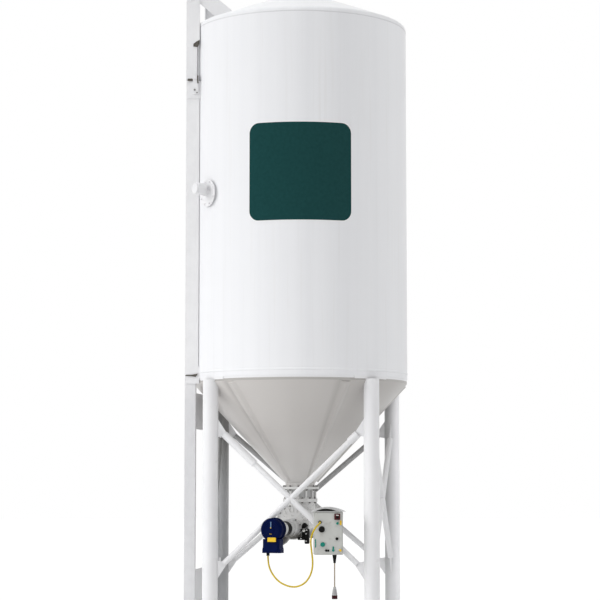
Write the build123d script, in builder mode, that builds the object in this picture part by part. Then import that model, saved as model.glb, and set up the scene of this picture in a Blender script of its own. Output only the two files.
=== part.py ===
from build123d import *
from math import atan2, cos, degrees, radians, sin, tan
import os

os.makedirs("parts", exist_ok=True)

# Cement silo on four legs with a continuous mixer under its outlet, millimetres.
# Origin on the ground below the silo axis, front towards -Y, transport frame on -X.

# Shell, roof and cone
shell_radius = 1200
shell_wall = 6
shell_bottom = 3480
shell_top = 7410
wall_plate_count = 6
wall_seam_angle = 15
bead_height = 50
bead_width = 26
bead_proud = 4
roof_skirt = 25
roof_knuckle = 40
roof_slope = 21.5
crown_radius = 310
hatch_collar = 110
hatch_lid_overhang = 30
hatch_lid = 12
hatch_clamp_count = 4
cone_plate_count = 4
cone_seam_angle = 45
cone_lap = 40
cone_skirt = 50
cone_bottom = 2330
outlet_radius = 165
outlet_neck = 40
seam_clearance = 0.3

# Outlet flange, valve and mixer inlet, one on top of the other
flange_radius = 208
flange_thickness = 18
valve_body_radius = 150
valve_height = 132
lower_flange_radius = 192
flange_bolt_circle = 186
lower_bolt_circle = 172
flange_bolt_hole = 18
flange_bolt_count = 12

# Legs and feet
leg_diameter = 168.3
leg_wall = 8
front_leg_angle = 42.6
front_leg_reach = 75
rear_leg_angle = 28.1
pad_drop = 30
pad_width = 460
foot_size = 300
foot_thickness = 20
foot_bolt_spacing = 220
foot_bolt_hole = 26

# Crossed braces on the four sides
brace_diameter = 60.3
brace_wall = 5
brace_top = 3005
brace_bottom = 1325
gusset_reach = 95
gusset_thickness = 12
sleeve_diameter = 82
sleeve_lengths = (460, 120)
gusset_height = 190

# Transport frame
rail_stand_off = 5
rail_depth = 120
rail_flange = 55
rail_web = 7
rail_lip = 9
rail_y = 585
rail_bottom = 60
rail_height = 8050
rail_head_length = 1240
rail_head_thickness = 15
flare_drop = 720
rail_head_width = 150
flare_height = 80
strut_width = 168
strut_slope = 41.3
strut_drop = 233
strut_reach = 405
bracket_thickness = 12
lower_bracket_drop = 60
upper_bracket_drop = 1450
bracket_height = 190
bracket_margin = 12
crossbar_margin = 8
crossbar_drop = 150
crossbar_depth = 80
cross_plate_thickness = 12
upper_plate_bottom = 2930
upper_plate_height = 400
lower_plate_bottom = 1000
lower_plate_height = 380

# Level sensor on the shell
sensor_angle = 221
sensor_height = 5500
sensor_flange_radius = 150
sensor_flange_thickness = 10
sensor_nozzle_radius = 118
sensor_standoff = 14
sensor_neck_radius = 36
sensor_neck = 46
sensor_housing_radius = 65
sensor_housing = 100
sensor_housing_rise = 40
sensor_cap = 16

# Fill pipe and vent pipe up the hidden side
pipe_diameter = 114.3
pipe_wall = 5
pipe_stand_off = 130
fill_pipe_angle = 145.8
vent_pipe_angle = 45
pipe_bottom = 1150
pipe_top_drop = 160
pipe_bend = 115
pipe_cap = 12
coupling_diameter = 140
coupling_length = 90
clamp_heights = (4300, 6300)
clamp_width = 90
clamp_height = 60

# Mixer under the outlet, turned about the silo axis
mixer_turn = 11.9
mixer_offset = 31
drum_height = 1905
drum_radius = 178
drum_front = 310
drum_rear = 300
end_plate_radius = 192
end_plate_thickness = 18
inlet_radius = 165
screw_height = 1840
gear_flange_radius = 105
gear_flange_thickness = 22
gear_neck_radius = 76
gear_neck_end = 890
gear_step_radius = 90
gear_step = 120
motor_radius = 120
motor_length = 150
motor_dome = 32
terminal_width = 190
terminal_foot_width = 206
terminal_depth = 120
terminal_bottom = 1592
terminal_top = 1740
terminal_flare = 30
mixing_tube_radius = 90
mixing_tube_wall = 6
mixing_tube_end = 1000
tube_flange_radius = 118
tube_flange_thickness = 14
discharge_radius = 75
discharge_drop = 190

# Control box in front of the front braces
box_width = 306
box_height = 454
box_depth = 160
box_centre_x = 409
box_back_y = -875
box_bottom = 1578
box_turn = 10
box_corner = 8
hood_overhang = 26
hood_sheet = 4
hood_rise = 46
door_margin = 24
door_thickness = 14
bracket_bar_width = 60
bracket_bar_height = 40
bracket_reach_back = 110
bracket_side = -40
bracket_heights = (30, 110)
knob_place = (-72, 41)
knob_radius = 30
knob_length = 32
button_places = ((-63, -118), (99, 104), (88, -58))
button_radius = 17
button_length = 22
lamp_places = ((49, -180), (124, -180), (132, 104))
lamp_radius = 12
lamp_length = 14
switch_place = (107, 176)
switch_width = 50
switch_height = 42

# Cables
terminal_exit_side = -57
door_exit = (-92, 117)
lead_side = 69
cable_route = (
    (-177, -954, 1365),
    (-85, -982, 1273),
    (57, -1014, 1228),
    (183, -1058, 1269),
    (261, -1108, 1373),
    (286, -1145, 1492),
    (276, -1184, 1615),
    (269, -1247, 1745),
    (313, -1272, 1855),
)
cable_drop = 86
cable_reach = 100
motor_cable_diameter = 18
lead_diameter = 13
gland_radius = 17
gland_length = 30
lead_gland_radius = 24
lead_gland_tip = 12
lead_gland_length = 90
lead_length = 250
plug_radius = 27
plug_tip = 14
plug_length = 85
plug_end_radius = 29
plug_end = 42
cable_corner_share = 0.45

leg_circle = shell_radius - leg_diameter / 2
cone_skirt_bottom = shell_bottom - cone_skirt
cone_radius = shell_radius - shell_wall - seam_clearance
flange_top = cone_bottom - outlet_neck
valve_top = flange_top - flange_thickness
valve_bottom = valve_top - valve_height
inlet_flange_bottom = valve_bottom - flange_thickness
rail_outer_x = -shell_radius - rail_stand_off
rail_inner_x = rail_outer_x + rail_depth
rail_head_bottom = rail_height - rail_head_length
rail_head_flare = rail_height - flare_drop
upper_bracket_bottom = rail_height - upper_bracket_drop
lower_bracket_bottom = shell_bottom - lower_bracket_drop
crossbar_height = rail_height - crossbar_drop
pipe_circle = shell_radius + pipe_stand_off
pipe_top = shell_top - pipe_top_drop
brace_radius = brace_diameter / 2


def radial_plane(angle):
    """Upright section plane through the silo axis, local x outwards and local y up."""
    turn = radians(angle)
    return Plane(origin=(0, 0, 0), x_dir=(cos(turn), sin(turn), 0), z_dir=(sin(turn), -cos(turn), 0))


def outward_plane(angle, radius, height):
    """Plane facing away from the silo axis, local y up."""
    turn = radians(angle)
    return Plane(
        origin=(radius * cos(turn), radius * sin(turn), height),
        x_dir=(-sin(turn), cos(turn), 0),
        z_dir=(cos(turn), sin(turn), 0),
    )


def mixer_plane(distance, height):
    """Plane square to the mixer's long axis, facing its drive end, local y up."""
    turn = radians(mixer_turn)
    return Plane(
        origin=(
            mixer_offset * cos(turn) - distance * sin(turn),
            -mixer_offset * sin(turn) - distance * cos(turn),
            height,
        ),
        x_dir=(cos(turn), -sin(turn), 0),
        z_dir=(-sin(turn), -cos(turn), 0),
    )


def box_plane(distance, height):
    """Plane parallel to the control box's face, a distance in front of its back."""
    turn = radians(box_turn)
    return Plane(
        origin=(box_centre_x + distance * sin(turn), box_back_y - distance * cos(turn), height),
        x_dir=(cos(turn), sin(turn), 0),
        z_dir=(sin(turn), -cos(turn), 0),
    )


def shell_form(clearance):
    """Solid cylinder of the shell, run down past the lower brackets, grown by a clearance."""
    with BuildPart() as form:
        with BuildSketch(Plane.XY.offset(lower_bracket_bottom - pad_drop)):
            Circle(shell_radius + clearance)
        extrude(amount=shell_top - lower_bracket_bottom + pad_drop)
    return form.part


def cone_form(clearance):
    """Solid inside the cone's outer face, grown by a clearance."""
    with BuildPart() as form:
        with BuildSketch(Plane.XZ):
            with BuildLine():
                Polyline(
                    (0, shell_bottom),
                    (cone_radius + clearance, shell_bottom),
                    (cone_radius + clearance, cone_skirt_bottom),
                    (outlet_radius + clearance, cone_bottom),
                    (0, cone_bottom),
                    close=True,
                )
            make_face()
        revolve(axis=Axis.Z)
    return form.part


def roof_form(inset):
    """Solid under the roof: short skirt, rounded knuckle, even slope and flat crown."""
    slope = radians(roof_slope)
    bend = roof_knuckle - inset
    centre_x = shell_radius - roof_knuckle
    centre_z = shell_top + roof_skirt
    slope_start = (centre_x + bend * sin(slope), centre_z + bend * cos(slope))
    crown_height = slope_start[1] + (slope_start[0] - crown_radius) * tan(slope)
    with BuildPart() as form:
        with BuildSketch(Plane.XZ):
            with BuildLine():
                Line((0, shell_top), (shell_radius - inset, shell_top))
                Line((shell_radius - inset, shell_top), (shell_radius - inset, centre_z))
                CenterArc((centre_x, centre_z), bend, 0, 90 - roof_slope)
                Line(slope_start, (crown_radius, crown_height))
                Line((crown_radius, crown_height), (0, crown_height))
                Line((0, crown_height), (0, shell_top))
            make_face()
        revolve(axis=Axis.Z)
    return form.part


def tube_between(start, end, diameter, wall):
    """Round tube from one point to another."""
    run = Vector(*end) - Vector(*start)
    with BuildPart() as tube:
        with BuildSketch(Plane(origin=start, z_dir=run)):
            Circle(diameter / 2)
            Circle(diameter / 2 - wall, mode=Mode.SUBTRACT)
        extrude(amount=run.length)
    return tube.part


def rod_between(start, end, diameter):
    """Round rod from one point to another."""
    run = Vector(*end) - Vector(*start)
    with BuildPart() as rod:
        with BuildSketch(Plane(origin=start, z_dir=run)):
            Circle(diameter / 2)
        extrude(amount=run.length)
    return rod.part


shell_cutter = shell_form(seam_clearance)
cone_cutter = cone_form(seam_clearance)
roof_cutter = roof_form(-seam_clearance)

# Shell wall in rolled plates, each with the pressed bead above the lower edge
for number in range(wall_plate_count):
    arc = 360 / wall_plate_count
    with BuildPart() as wall_plate:
        with BuildSketch(radial_plane(wall_seam_angle + number * arc)):
            with BuildLine():
                Polyline(
                    (shell_radius, shell_bottom + bead_height),
                    (shell_radius, shell_bottom),
                    (shell_radius - shell_wall, shell_bottom),
                    (shell_radius - shell_wall, shell_top),
                    (shell_radius, shell_top),
                    (shell_radius, shell_bottom + bead_height + bead_width),
                )
                ThreePointArc(
                    (shell_radius, shell_bottom + bead_height + bead_width),
                    (shell_radius + bead_proud, shell_bottom + bead_height + bead_width / 2),
                    (shell_radius, shell_bottom + bead_height),
                )
            make_face()
        revolve(axis=Axis.Z, revolution_arc=arc)
    wall_plate.part.label = f"wall_plate_{number + 1}"
    export_step(wall_plate.part, f"parts/wall_plate_{number + 1}.step")

# Cone in rolled plates, lapped inside the shell
cone_inner_radius = cone_radius - shell_wall
cone_slope = atan2(cone_radius - outlet_radius, cone_skirt_bottom - cone_bottom)
for number in range(cone_plate_count):
    arc = 360 / cone_plate_count
    with BuildPart() as cone_plate:
        with BuildSketch(radial_plane(cone_seam_angle + number * arc)):
            with BuildLine():
                Polyline(
                    (cone_radius, shell_bottom + cone_lap),
                    (cone_radius, cone_skirt_bottom),
                    (outlet_radius, cone_bottom),
                    (outlet_radius, flange_top),
                    (outlet_radius - shell_wall, flange_top),
                    (outlet_radius - shell_wall, cone_bottom + shell_wall * tan(cone_slope / 2)),
                    (cone_inner_radius, cone_skirt_bottom + shell_wall * tan(cone_slope / 2)),
                    (cone_inner_radius, shell_bottom + cone_lap),
                    close=True,
                )
            make_face()
        revolve(axis=Axis.Z, revolution_arc=arc)
    cone_plate.part.label = f"cone_plate_{number + 1}"
    export_step(cone_plate.part, f"parts/cone_plate_{number + 1}.step")

# Dished roof
roof_outer = roof_form(0)
roof_inner = roof_form(shell_wall)
with BuildPart() as roof_dome:
    add(roof_outer)
    add(roof_inner, mode=Mode.SUBTRACT)
roof_dome.part.label = "roof_dome"
export_step(roof_dome.part, "parts/roof_dome.step")
crown_top = roof_dome.part.bounding_box().max.Z

# Manhole collar, lid and its clamps on the crown
hatch_radius = crown_radius - hatch_lid_overhang
with BuildPart() as roof_hatch:
    with BuildSketch(Plane.XY.offset(crown_top)):
        Circle(hatch_radius)
    extrude(amount=hatch_collar)
    with BuildSketch(Plane.XY.offset(crown_top + hatch_collar)):
        Circle(crown_radius)
    extrude(amount=hatch_lid)
    with BuildSketch(Plane.XY.offset(crown_top + hatch_collar + hatch_lid)):
        with PolarLocations(hatch_radius, hatch_clamp_count, start_angle=45):
            Rectangle(hatch_lid_overhang * 2, hatch_lid_overhang)
    extrude(amount=hatch_lid_overhang)
roof_hatch.part.label = "roof_hatch"
export_step(roof_hatch.part, "parts/roof_hatch.step")

# Outlet flange on the cone
with BuildPart() as outlet_flange:
    with BuildSketch(Plane.XY.offset(flange_top - flange_thickness)):
        Circle(flange_radius)
        Circle(outlet_radius - shell_wall, mode=Mode.SUBTRACT)
        with PolarLocations(flange_bolt_circle, flange_bolt_count):
            Circle(flange_bolt_hole / 2, mode=Mode.SUBTRACT)
    extrude(amount=flange_thickness)
outlet_flange.part.label = "outlet_flange"
export_step(outlet_flange.part, "parts/outlet_flange.step")

# Outlet valve: waisted body between two flanges, shut by its disc
with BuildPart() as outlet_valve:
    with BuildSketch(Plane.XZ):
        with BuildLine():
            Polyline(
                (0, valve_bottom),
                (lower_flange_radius, valve_bottom),
                (lower_flange_radius, valve_bottom + flange_thickness),
                (valve_body_radius + flange_thickness, valve_bottom + flange_thickness),
                (valve_body_radius, valve_bottom + flange_thickness * 2),
                (valve_body_radius, valve_top - flange_thickness / 2),
                (flange_radius, valve_top - flange_thickness / 2),
                (flange_radius, valve_top),
                (0, valve_top),
                close=True,
            )
        make_face()
    revolve(axis=Axis.Z)
    with BuildSketch(Plane.XY.offset(valve_bottom)):
        with PolarLocations(lower_bolt_circle, flange_bolt_count, start_angle=15):
            Circle(flange_bolt_hole / 2)
    extrude(amount=flange_thickness, mode=Mode.SUBTRACT)
outlet_valve.part.label = "outlet_valve"
export_step(outlet_valve.part, "parts/outlet_valve.step")

# Leg centres, front pair then rear pair
leg_places = {
    "front_left": 180 + front_leg_angle,
    "front_right": -front_leg_angle,
    "rear_left": 180 - rear_leg_angle,
    "rear_right": rear_leg_angle,
}
leg_centres = {}
for place, angle in leg_places.items():
    circle = leg_circle
    if place.startswith("front"):
        circle = leg_circle + front_leg_reach
    leg_centres[place] = (circle * cos(radians(angle)), circle * sin(radians(angle)))

# Legs of round tube, cut to the cone at the top
for place, centre in leg_centres.items():
    with BuildPart() as leg:
        with BuildSketch(Plane.XY.offset(foot_thickness)):
            with Locations(centre):
                Circle(leg_diameter / 2)
                Circle(leg_diameter / 2 - leg_wall, mode=Mode.SUBTRACT)
        extrude(amount=shell_bottom - pad_drop - foot_thickness)
        add(cone_cutter, mode=Mode.SUBTRACT)
    leg.part.label = f"leg_{place}"
    export_step(leg.part, f"parts/leg_{place}.step")

# Foot plates with four anchor holes each
with BuildPart() as foot_plates:
    with BuildSketch():
        with Locations(*leg_centres.values()):
            Rectangle(foot_size, foot_size)
            with GridLocations(foot_bolt_spacing, foot_bolt_spacing, 2, 2):
                Circle(foot_bolt_hole / 2, mode=Mode.SUBTRACT)
    extrude(amount=foot_thickness)
foot_plates.part.label = "foot_plates"
export_step(foot_plates.part, "parts/foot_plates.step")

# Skirt pads that carry the shell on the legs
pad_arc = degrees(pad_width / shell_radius)
with BuildPart() as leg_pads:
    for angle in leg_places.values():
        with BuildSketch(radial_plane(angle - pad_arc / 2)):
            with Locations((shell_radius - shell_wall / 2, shell_bottom - pad_drop / 2)):
                Rectangle(shell_wall, pad_drop)
        revolve(axis=Axis.Z, revolution_arc=pad_arc)
leg_pads.part.label = "leg_pads"
export_step(leg_pads.part, "parts/leg_pads.step")

# Crossed braces between neighbouring legs: one tube runs through, the other is
# welded to it in two halves, and all meet gusset plates on the legs
sides = {
    "front": ("front_left", "front_right"),
    "right": ("front_right", "rear_right"),
    "rear": ("rear_right", "rear_left"),
    "left": ("rear_left", "front_left"),
}
gussets = []
for side, (first, second) in sides.items():
    across = Vector(*leg_centres[second]) - Vector(*leg_centres[first])
    span = across.length
    origin = Vector(*leg_centres[first])
    frame_plane = Plane(origin=origin, x_dir=across, z_dir=across.cross(Vector(0, 0, 1)))
    lean = atan2(brace_top - brace_bottom, span)
    leg_edge = leg_diameter / 2
    rise = tan(lean)
    ends = {}
    for corner, x_edge, height, x_sense, z_sense in (
        ("low_first", leg_edge, brace_bottom + leg_edge * rise, 1, 1),
        ("high_second", span - leg_edge, brace_top - leg_edge * rise, -1, -1),
        ("high_first", leg_edge, brace_top - leg_edge * rise, 1, -1),
        ("low_second", span - leg_edge, brace_bottom + leg_edge * rise, -1, 1),
    ):
        along = Vector(x_sense * cos(lean), z_sense * sin(lean))
        normal = Vector(-along.Y, along.X)
        tip = Vector(x_edge, height) + along * gusset_reach
        ends[corner] = frame_plane.from_local_coords((tip.X, tip.Y, 0))
        with BuildPart() as gusset:
            with BuildSketch(frame_plane):
                with BuildLine():
                    Polyline(
                        (x_edge, height - gusset_height / 2),
                        (x_edge, height + gusset_height / 2),
                        tip + normal * (brace_radius * x_sense),
                        tip - normal * (brace_radius * x_sense),
                        close=True,
                    )
                make_face()
            extrude(amount=gusset_thickness / 2, both=True)
        gussets.append(gusset.part)
    through_ends = (ends["low_first"], ends["high_second"])
    halves_ends = (ends["high_first"], ends["low_second"])
    through_tube = tube_between(*through_ends, brace_diameter, brace_wall)
    through_rod = rod_between(*through_ends, brace_diameter + 2 * seam_clearance)
    halves_tube = tube_between(*halves_ends, brace_diameter, brace_wall)
    with BuildPart() as brace_through:
        add(through_tube)
    brace_through.part.label = f"{side}_brace_through"
    export_step(brace_through.part, f"parts/{side}_brace_through.step")
    with BuildPart() as brace_halves:
        add(halves_tube)
        add(through_rod, mode=Mode.SUBTRACT)
    brace_halves.part.label = f"{side}_brace_halves"
    export_step(brace_halves.part, f"parts/{side}_brace_halves.step")
    if side == "front":
        front_brace_rods = (
            rod_between(*through_ends, brace_diameter + 2 * seam_clearance),
            rod_between(*halves_ends, brace_diameter + 2 * seam_clearance),
        )
        upper_ends = ((halves_ends[0], halves_ends[1]), (through_ends[1], through_ends[0]))

with BuildPart() as brace_gussets:
    for gusset_part in gussets:
        add(gusset_part)
brace_gussets.part.label = "brace_gussets"
export_step(brace_gussets.part, "parts/brace_gussets.step")

# Sleeves over the upper ends of the front braces
sleeve_wall = sleeve_diameter / 2 - brace_radius - seam_clearance
with BuildPart() as brace_sleeves:
    for (upper, lower), length in zip(upper_ends, sleeve_lengths):
        run = (Vector(*lower) - Vector(*upper)).normalized()
        add(
            tube_between(
                Vector(*upper) + run * seam_clearance,
                Vector(*upper) + run * length,
                sleeve_diameter,
                sleeve_wall,
            )
        )
brace_sleeves.part.label = "brace_sleeves"
export_step(brace_sleeves.part, "parts/brace_sleeves.step")

# Transport frame rails: channels with the web outwards
for place, sense in (("near", -1), ("far", 1)):
    with BuildPart() as rail:
        with BuildSketch(Plane.XY.offset(rail_bottom)):
            with Locations((rail_outer_x + rail_depth / 2, sense * (rail_y - rail_flange / 2))):
                Rectangle(rail_depth, rail_flange)
            with Locations((rail_outer_x + rail_depth / 2, sense * (rail_y - rail_web - rail_flange / 2))):
                Rectangle(rail_depth - 2 * rail_lip, rail_flange, mode=Mode.SUBTRACT)
        extrude(amount=rail_height - rail_bottom)
    rail.part.label = f"{place}_rail"
    export_step(rail.part, f"parts/{place}_rail.step")

# Plates that box the upper rails, wider where the struts leave
with BuildPart() as rail_heads:
    for sense in (-1, 1):
        with BuildSketch(Plane.XZ.offset(-sense * rail_y)):
            with BuildLine():
                Polyline(
                    (rail_outer_x, rail_head_bottom),
                    (rail_inner_x, rail_head_bottom),
                    (rail_inner_x, rail_head_flare - flare_height),
                    (rail_outer_x + rail_head_width, rail_head_flare),
                    (rail_outer_x + rail_head_width, rail_height),
                    (rail_outer_x, rail_height),
                    close=True,
                )
            make_face()
        extrude(amount=-sense * rail_head_thickness)
rail_heads.part.label = "rail_heads"
export_step(rail_heads.part, "parts/rail_heads.step")

# Struts from the rail tops down to the roof
strut_height = rail_height - strut_drop
strut_end_x = rail_inner_x + strut_reach
strut_fall = tan(radians(strut_slope)) * strut_reach
strut_half = strut_width / 2 / cos(radians(strut_slope))
with BuildPart() as roof_struts:
    for sense in (-1, 1):
        with BuildSketch(Plane.XZ.offset(-sense * (rail_y - rail_flange))):
            with BuildLine():
                Polyline(
                    (rail_inner_x, strut_height - strut_half),
                    (rail_inner_x, strut_height + strut_half),
                    (strut_end_x, strut_height + strut_half - strut_fall),
                    (strut_end_x, strut_height - strut_half - strut_fall),
                    close=True,
                )
            make_face()
        extrude(amount=-sense * rail_flange)
    add(roof_cutter, mode=Mode.SUBTRACT)
    add(shell_cutter, mode=Mode.SUBTRACT)
roof_struts.part.label = "roof_struts"
export_step(roof_struts.part, "parts/roof_struts.step")

# Bracket plates that tie the rails to the shell
bracket_reach = shell_radius - bracket_margin - rail_y / 3
with BuildPart() as rail_brackets:
    for sense in (-1, 1):
        for bottom in (lower_bracket_bottom, upper_bracket_bottom):
            with BuildSketch(Plane.XZ.offset(-sense * rail_y)):
                with BuildLine():
                    Polyline(
                        (rail_outer_x + bracket_margin, bottom),
                        (-bracket_reach, bottom),
                        (-bracket_reach, bottom + bracket_height),
                        (rail_outer_x + rail_depth / 2, bottom + bracket_height),
                        (rail_outer_x + bracket_margin, bottom + bracket_height / 2),
                        close=True,
                    )
                make_face()
            extrude(amount=-sense * bracket_thickness)
    add(shell_cutter, mode=Mode.SUBTRACT)
    with BuildSketch(Plane.XY.offset(shell_bottom + bead_height)):
        Circle(shell_radius + bead_proud + seam_clearance)
    extrude(amount=bead_width, mode=Mode.SUBTRACT)
rail_brackets.part.label = "rail_brackets"
export_step(rail_brackets.part, "parts/rail_brackets.step")

# Top crossbar and the two cross plates between the rails
cross_length = 2 * (rail_y - rail_web)
with BuildPart() as frame_crossbars:
    with BuildSketch(Plane.XY.offset(crossbar_height)):
        with Locations((rail_outer_x + rail_depth / 2, 0)):
            Rectangle(rail_depth - 2 * rail_lip - 2 * crossbar_margin, cross_length)
    extrude(amount=crossbar_depth)
    for bottom, height in (
        (upper_plate_bottom, upper_plate_height),
        (lower_plate_bottom, lower_plate_height),
    ):
        with BuildSketch(Plane.XY.offset(bottom)):
            with Locations((rail_outer_x + rail_depth / 2, 0)):
                Rectangle(cross_plate_thickness, cross_length)
        extrude(amount=height)
frame_crossbars.part.label = "frame_crossbars"
export_step(frame_crossbars.part, "parts/frame_crossbars.step")

# Level sensor: nozzle and flange on the shell
with BuildPart() as sensor_flange:
    with BuildSketch(outward_plane(sensor_angle, shell_radius - sensor_standoff, sensor_height)):
        Circle(sensor_nozzle_radius)
    extrude(amount=2 * sensor_standoff)
    add(shell_cutter, mode=Mode.SUBTRACT)
    with BuildSketch(outward_plane(sensor_angle, shell_radius + sensor_standoff, sensor_height)):
        Circle(sensor_flange_radius)
    extrude(amount=sensor_flange_thickness)
sensor_flange.part.label = "sensor_flange"
export_step(sensor_flange.part, "parts/sensor_flange.step")

# Level sensor: neck and round housing with its cap
sensor_seat = shell_radius + sensor_standoff + sensor_flange_thickness
with BuildPart() as level_sensor:
    with BuildSketch(outward_plane(sensor_angle, sensor_seat, sensor_height)):
        Circle(sensor_neck_radius)
    extrude(amount=sensor_neck)
    with BuildSketch(
        outward_plane(sensor_angle, sensor_seat + sensor_neck, sensor_height + sensor_housing_rise)
    ):
        Circle(sensor_housing_radius)
    extrude(amount=sensor_housing)
    with BuildSketch(
        outward_plane(
            sensor_angle, sensor_seat + sensor_neck + sensor_housing, sensor_height + sensor_housing_rise
        )
    ):
        Circle(sensor_housing_radius - sensor_cap / 2)
    extrude(amount=sensor_cap)
level_sensor.part.label = "level_sensor"
export_step(level_sensor.part, "parts/level_sensor.step")

# Fill pipe and vent pipe, bent into the top of the shell, each with a capped coupling
for pipe_name, angle in (("fill_pipe", fill_pipe_angle), ("vent_pipe", vent_pipe_angle)):
    turn = radians(angle)
    foot = Vector(pipe_circle * cos(turn), pipe_circle * sin(turn), pipe_bottom)
    crest = Vector(foot.X, foot.Y, pipe_top)
    inner_radius = pipe_circle - 1.2 * pipe_bend
    inner = Vector(inner_radius * cos(turn), inner_radius * sin(turn), pipe_top)
    with BuildPart() as pipe:
        with BuildLine():
            FilletPolyline(foot, crest, inner, radius=pipe_bend)
        with BuildSketch(Plane(origin=foot, z_dir=(0, 0, 1))):
            Circle(pipe_diameter / 2)
            Circle(pipe_diameter / 2 - pipe_wall, mode=Mode.SUBTRACT)
        sweep()
        add(shell_cutter, mode=Mode.SUBTRACT)
        with BuildSketch(Plane.XY.offset(pipe_bottom)):
            with Locations((foot.X, foot.Y)):
                Circle(coupling_diameter / 2)
                Circle(pipe_diameter / 2 - pipe_wall, mode=Mode.SUBTRACT)
        extrude(amount=coupling_length)
        with BuildSketch(Plane.XY.offset(pipe_bottom)):
            with Locations((foot.X, foot.Y)):
                Circle(coupling_diameter / 2)
        extrude(amount=pipe_cap)
    pipe.part.label = pipe_name
    export_step(pipe.part, f"parts/{pipe_name}.step")

# Clamps between the shell and the pipes
with BuildPart() as pipe_clamps:
    for angle in (fill_pipe_angle, vent_pipe_angle):
        for height in clamp_heights:
            with BuildSketch(outward_plane(angle, shell_radius - shell_wall, height)):
                Rectangle(clamp_width, clamp_height)
            extrude(amount=pipe_circle - shell_radius + shell_wall)
    add(shell_cutter, mode=Mode.SUBTRACT)
    for angle in (fill_pipe_angle, vent_pipe_angle):
        centre = (pipe_circle * cos(radians(angle)), pipe_circle * sin(radians(angle)))
        with BuildSketch(Plane.XY.offset(pipe_bottom)):
            with Locations(centre):
                Circle(pipe_diameter / 2 + seam_clearance)
        extrude(amount=shell_top - pipe_bottom, mode=Mode.SUBTRACT)
pipe_clamps.part.label = "pipe_clamps"
export_step(pipe_clamps.part, "parts/pipe_clamps.step")

# Mixer: round feed housing under the inlet flange
with BuildPart() as feed_housing:
    with BuildSketch(mixer_plane(-drum_rear, drum_height)):
        Circle(drum_radius)
    extrude(amount=drum_rear + drum_front)
    with BuildSketch(Plane.XY.offset(drum_height)):
        Circle(inlet_radius)
    extrude(amount=inlet_flange_bottom - drum_height)
    with BuildSketch(Plane.XY.offset(inlet_flange_bottom)):
        Circle(lower_flange_radius)
    extrude(amount=flange_thickness)
    with BuildSketch(Plane.XY.offset(inlet_flange_bottom)):
        with PolarLocations(lower_bolt_circle, flange_bolt_count, start_angle=15):
            Circle(flange_bolt_hole / 2)
    extrude(amount=flange_thickness, mode=Mode.SUBTRACT)
feed_housing.part.label = "feed_housing"
export_step(feed_housing.part, "parts/feed_housing.step")

# Bolted end plates of the feed housing
with BuildPart() as housing_end_plates:
    with BuildSketch(mixer_plane(drum_front, drum_height)):
        Circle(end_plate_radius)
    extrude(amount=end_plate_thickness)
    with BuildSketch(mixer_plane(-drum_rear - end_plate_thickness, drum_height)):
        Circle(end_plate_radius)
    extrude(amount=end_plate_thickness)
housing_end_plates.part.label = "housing_end_plates"
export_step(housing_end_plates.part, "parts/housing_end_plates.step")

# Gear unit between the end plate and the motor
gear_start = drum_front + end_plate_thickness
with BuildPart() as gear_unit:
    with BuildSketch(mixer_plane(gear_start, screw_height)):
        Circle(gear_flange_radius)
    extrude(amount=gear_flange_thickness)
    with BuildSketch(mixer_plane(gear_start + gear_flange_thickness, screw_height)):
        Circle(gear_step_radius)
    extrude(amount=gear_step)
    with BuildSketch(mixer_plane(gear_start + gear_flange_thickness + gear_step, screw_height)):
        Circle(gear_neck_radius)
    extrude(amount=gear_neck_end - gear_start - gear_flange_thickness - gear_step)
gear_unit.part.label = "gear_unit"
export_step(gear_unit.part, "parts/gear_unit.step")

# Motor with a domed fan cover
drive_plane = mixer_plane(gear_neck_end, screw_height)
drive_axis = Axis(drive_plane.origin, drive_plane.z_dir)
with BuildPart() as motor:
    with BuildSketch(drive_plane):
        Circle(motor_radius)
    extrude(amount=motor_length)
    fillet(motor.edges().filter_by(GeomType.CIRCLE).sort_by(drive_axis)[-1], radius=motor_dome)
motor.part.label = "motor"
export_step(motor.part, "parts/motor.step")

# Terminal box below the motor, wider at its foot
motor_mid = gear_neck_end + motor_length / 2
motor_rod = rod_between(
    mixer_plane(gear_neck_end - motor_length, screw_height).origin,
    mixer_plane(gear_neck_end + 2 * motor_length, screw_height).origin,
    2 * (motor_radius + seam_clearance),
)
with BuildPart() as terminal_box:
    with BuildSketch(mixer_plane(motor_mid - terminal_depth / 2, 0)):
        with BuildLine():
            Polyline(
                (-terminal_foot_width / 2, terminal_bottom),
                (terminal_foot_width / 2, terminal_bottom),
                (terminal_foot_width / 2, terminal_bottom + terminal_flare),
                (terminal_width / 2, terminal_bottom + 2 * terminal_flare),
                (terminal_width / 2, terminal_top),
                (-terminal_width / 2, terminal_top),
                (-terminal_width / 2, terminal_bottom + 2 * terminal_flare),
                (-terminal_foot_width / 2, terminal_bottom + terminal_flare),
                close=True,
            )
        make_face()
    extrude(amount=terminal_depth)
    fillet(terminal_box.edges().filter_by(Axis.Z), radius=box_corner)
    add(motor_rod, mode=Mode.SUBTRACT)
terminal_box.part.label = "terminal_box"
export_step(terminal_box.part, "parts/terminal_box.step")

# Mixing tube behind the housing, with its flange and end cap
tube_start = drum_rear + end_plate_thickness
with BuildPart() as mixing_tube:
    with BuildSketch(mixer_plane(-mixing_tube_end, screw_height)):
        Circle(mixing_tube_radius)
    extrude(amount=mixing_tube_end - tube_start)
    for start in (mixing_tube_end, tube_start + tube_flange_thickness):
        with BuildSketch(mixer_plane(-start, screw_height)):
            Circle(tube_flange_radius)
        extrude(amount=tube_flange_thickness)
mixing_tube.part.label = "mixing_tube"
export_step(mixing_tube.part, "parts/mixing_tube.step")

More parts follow.
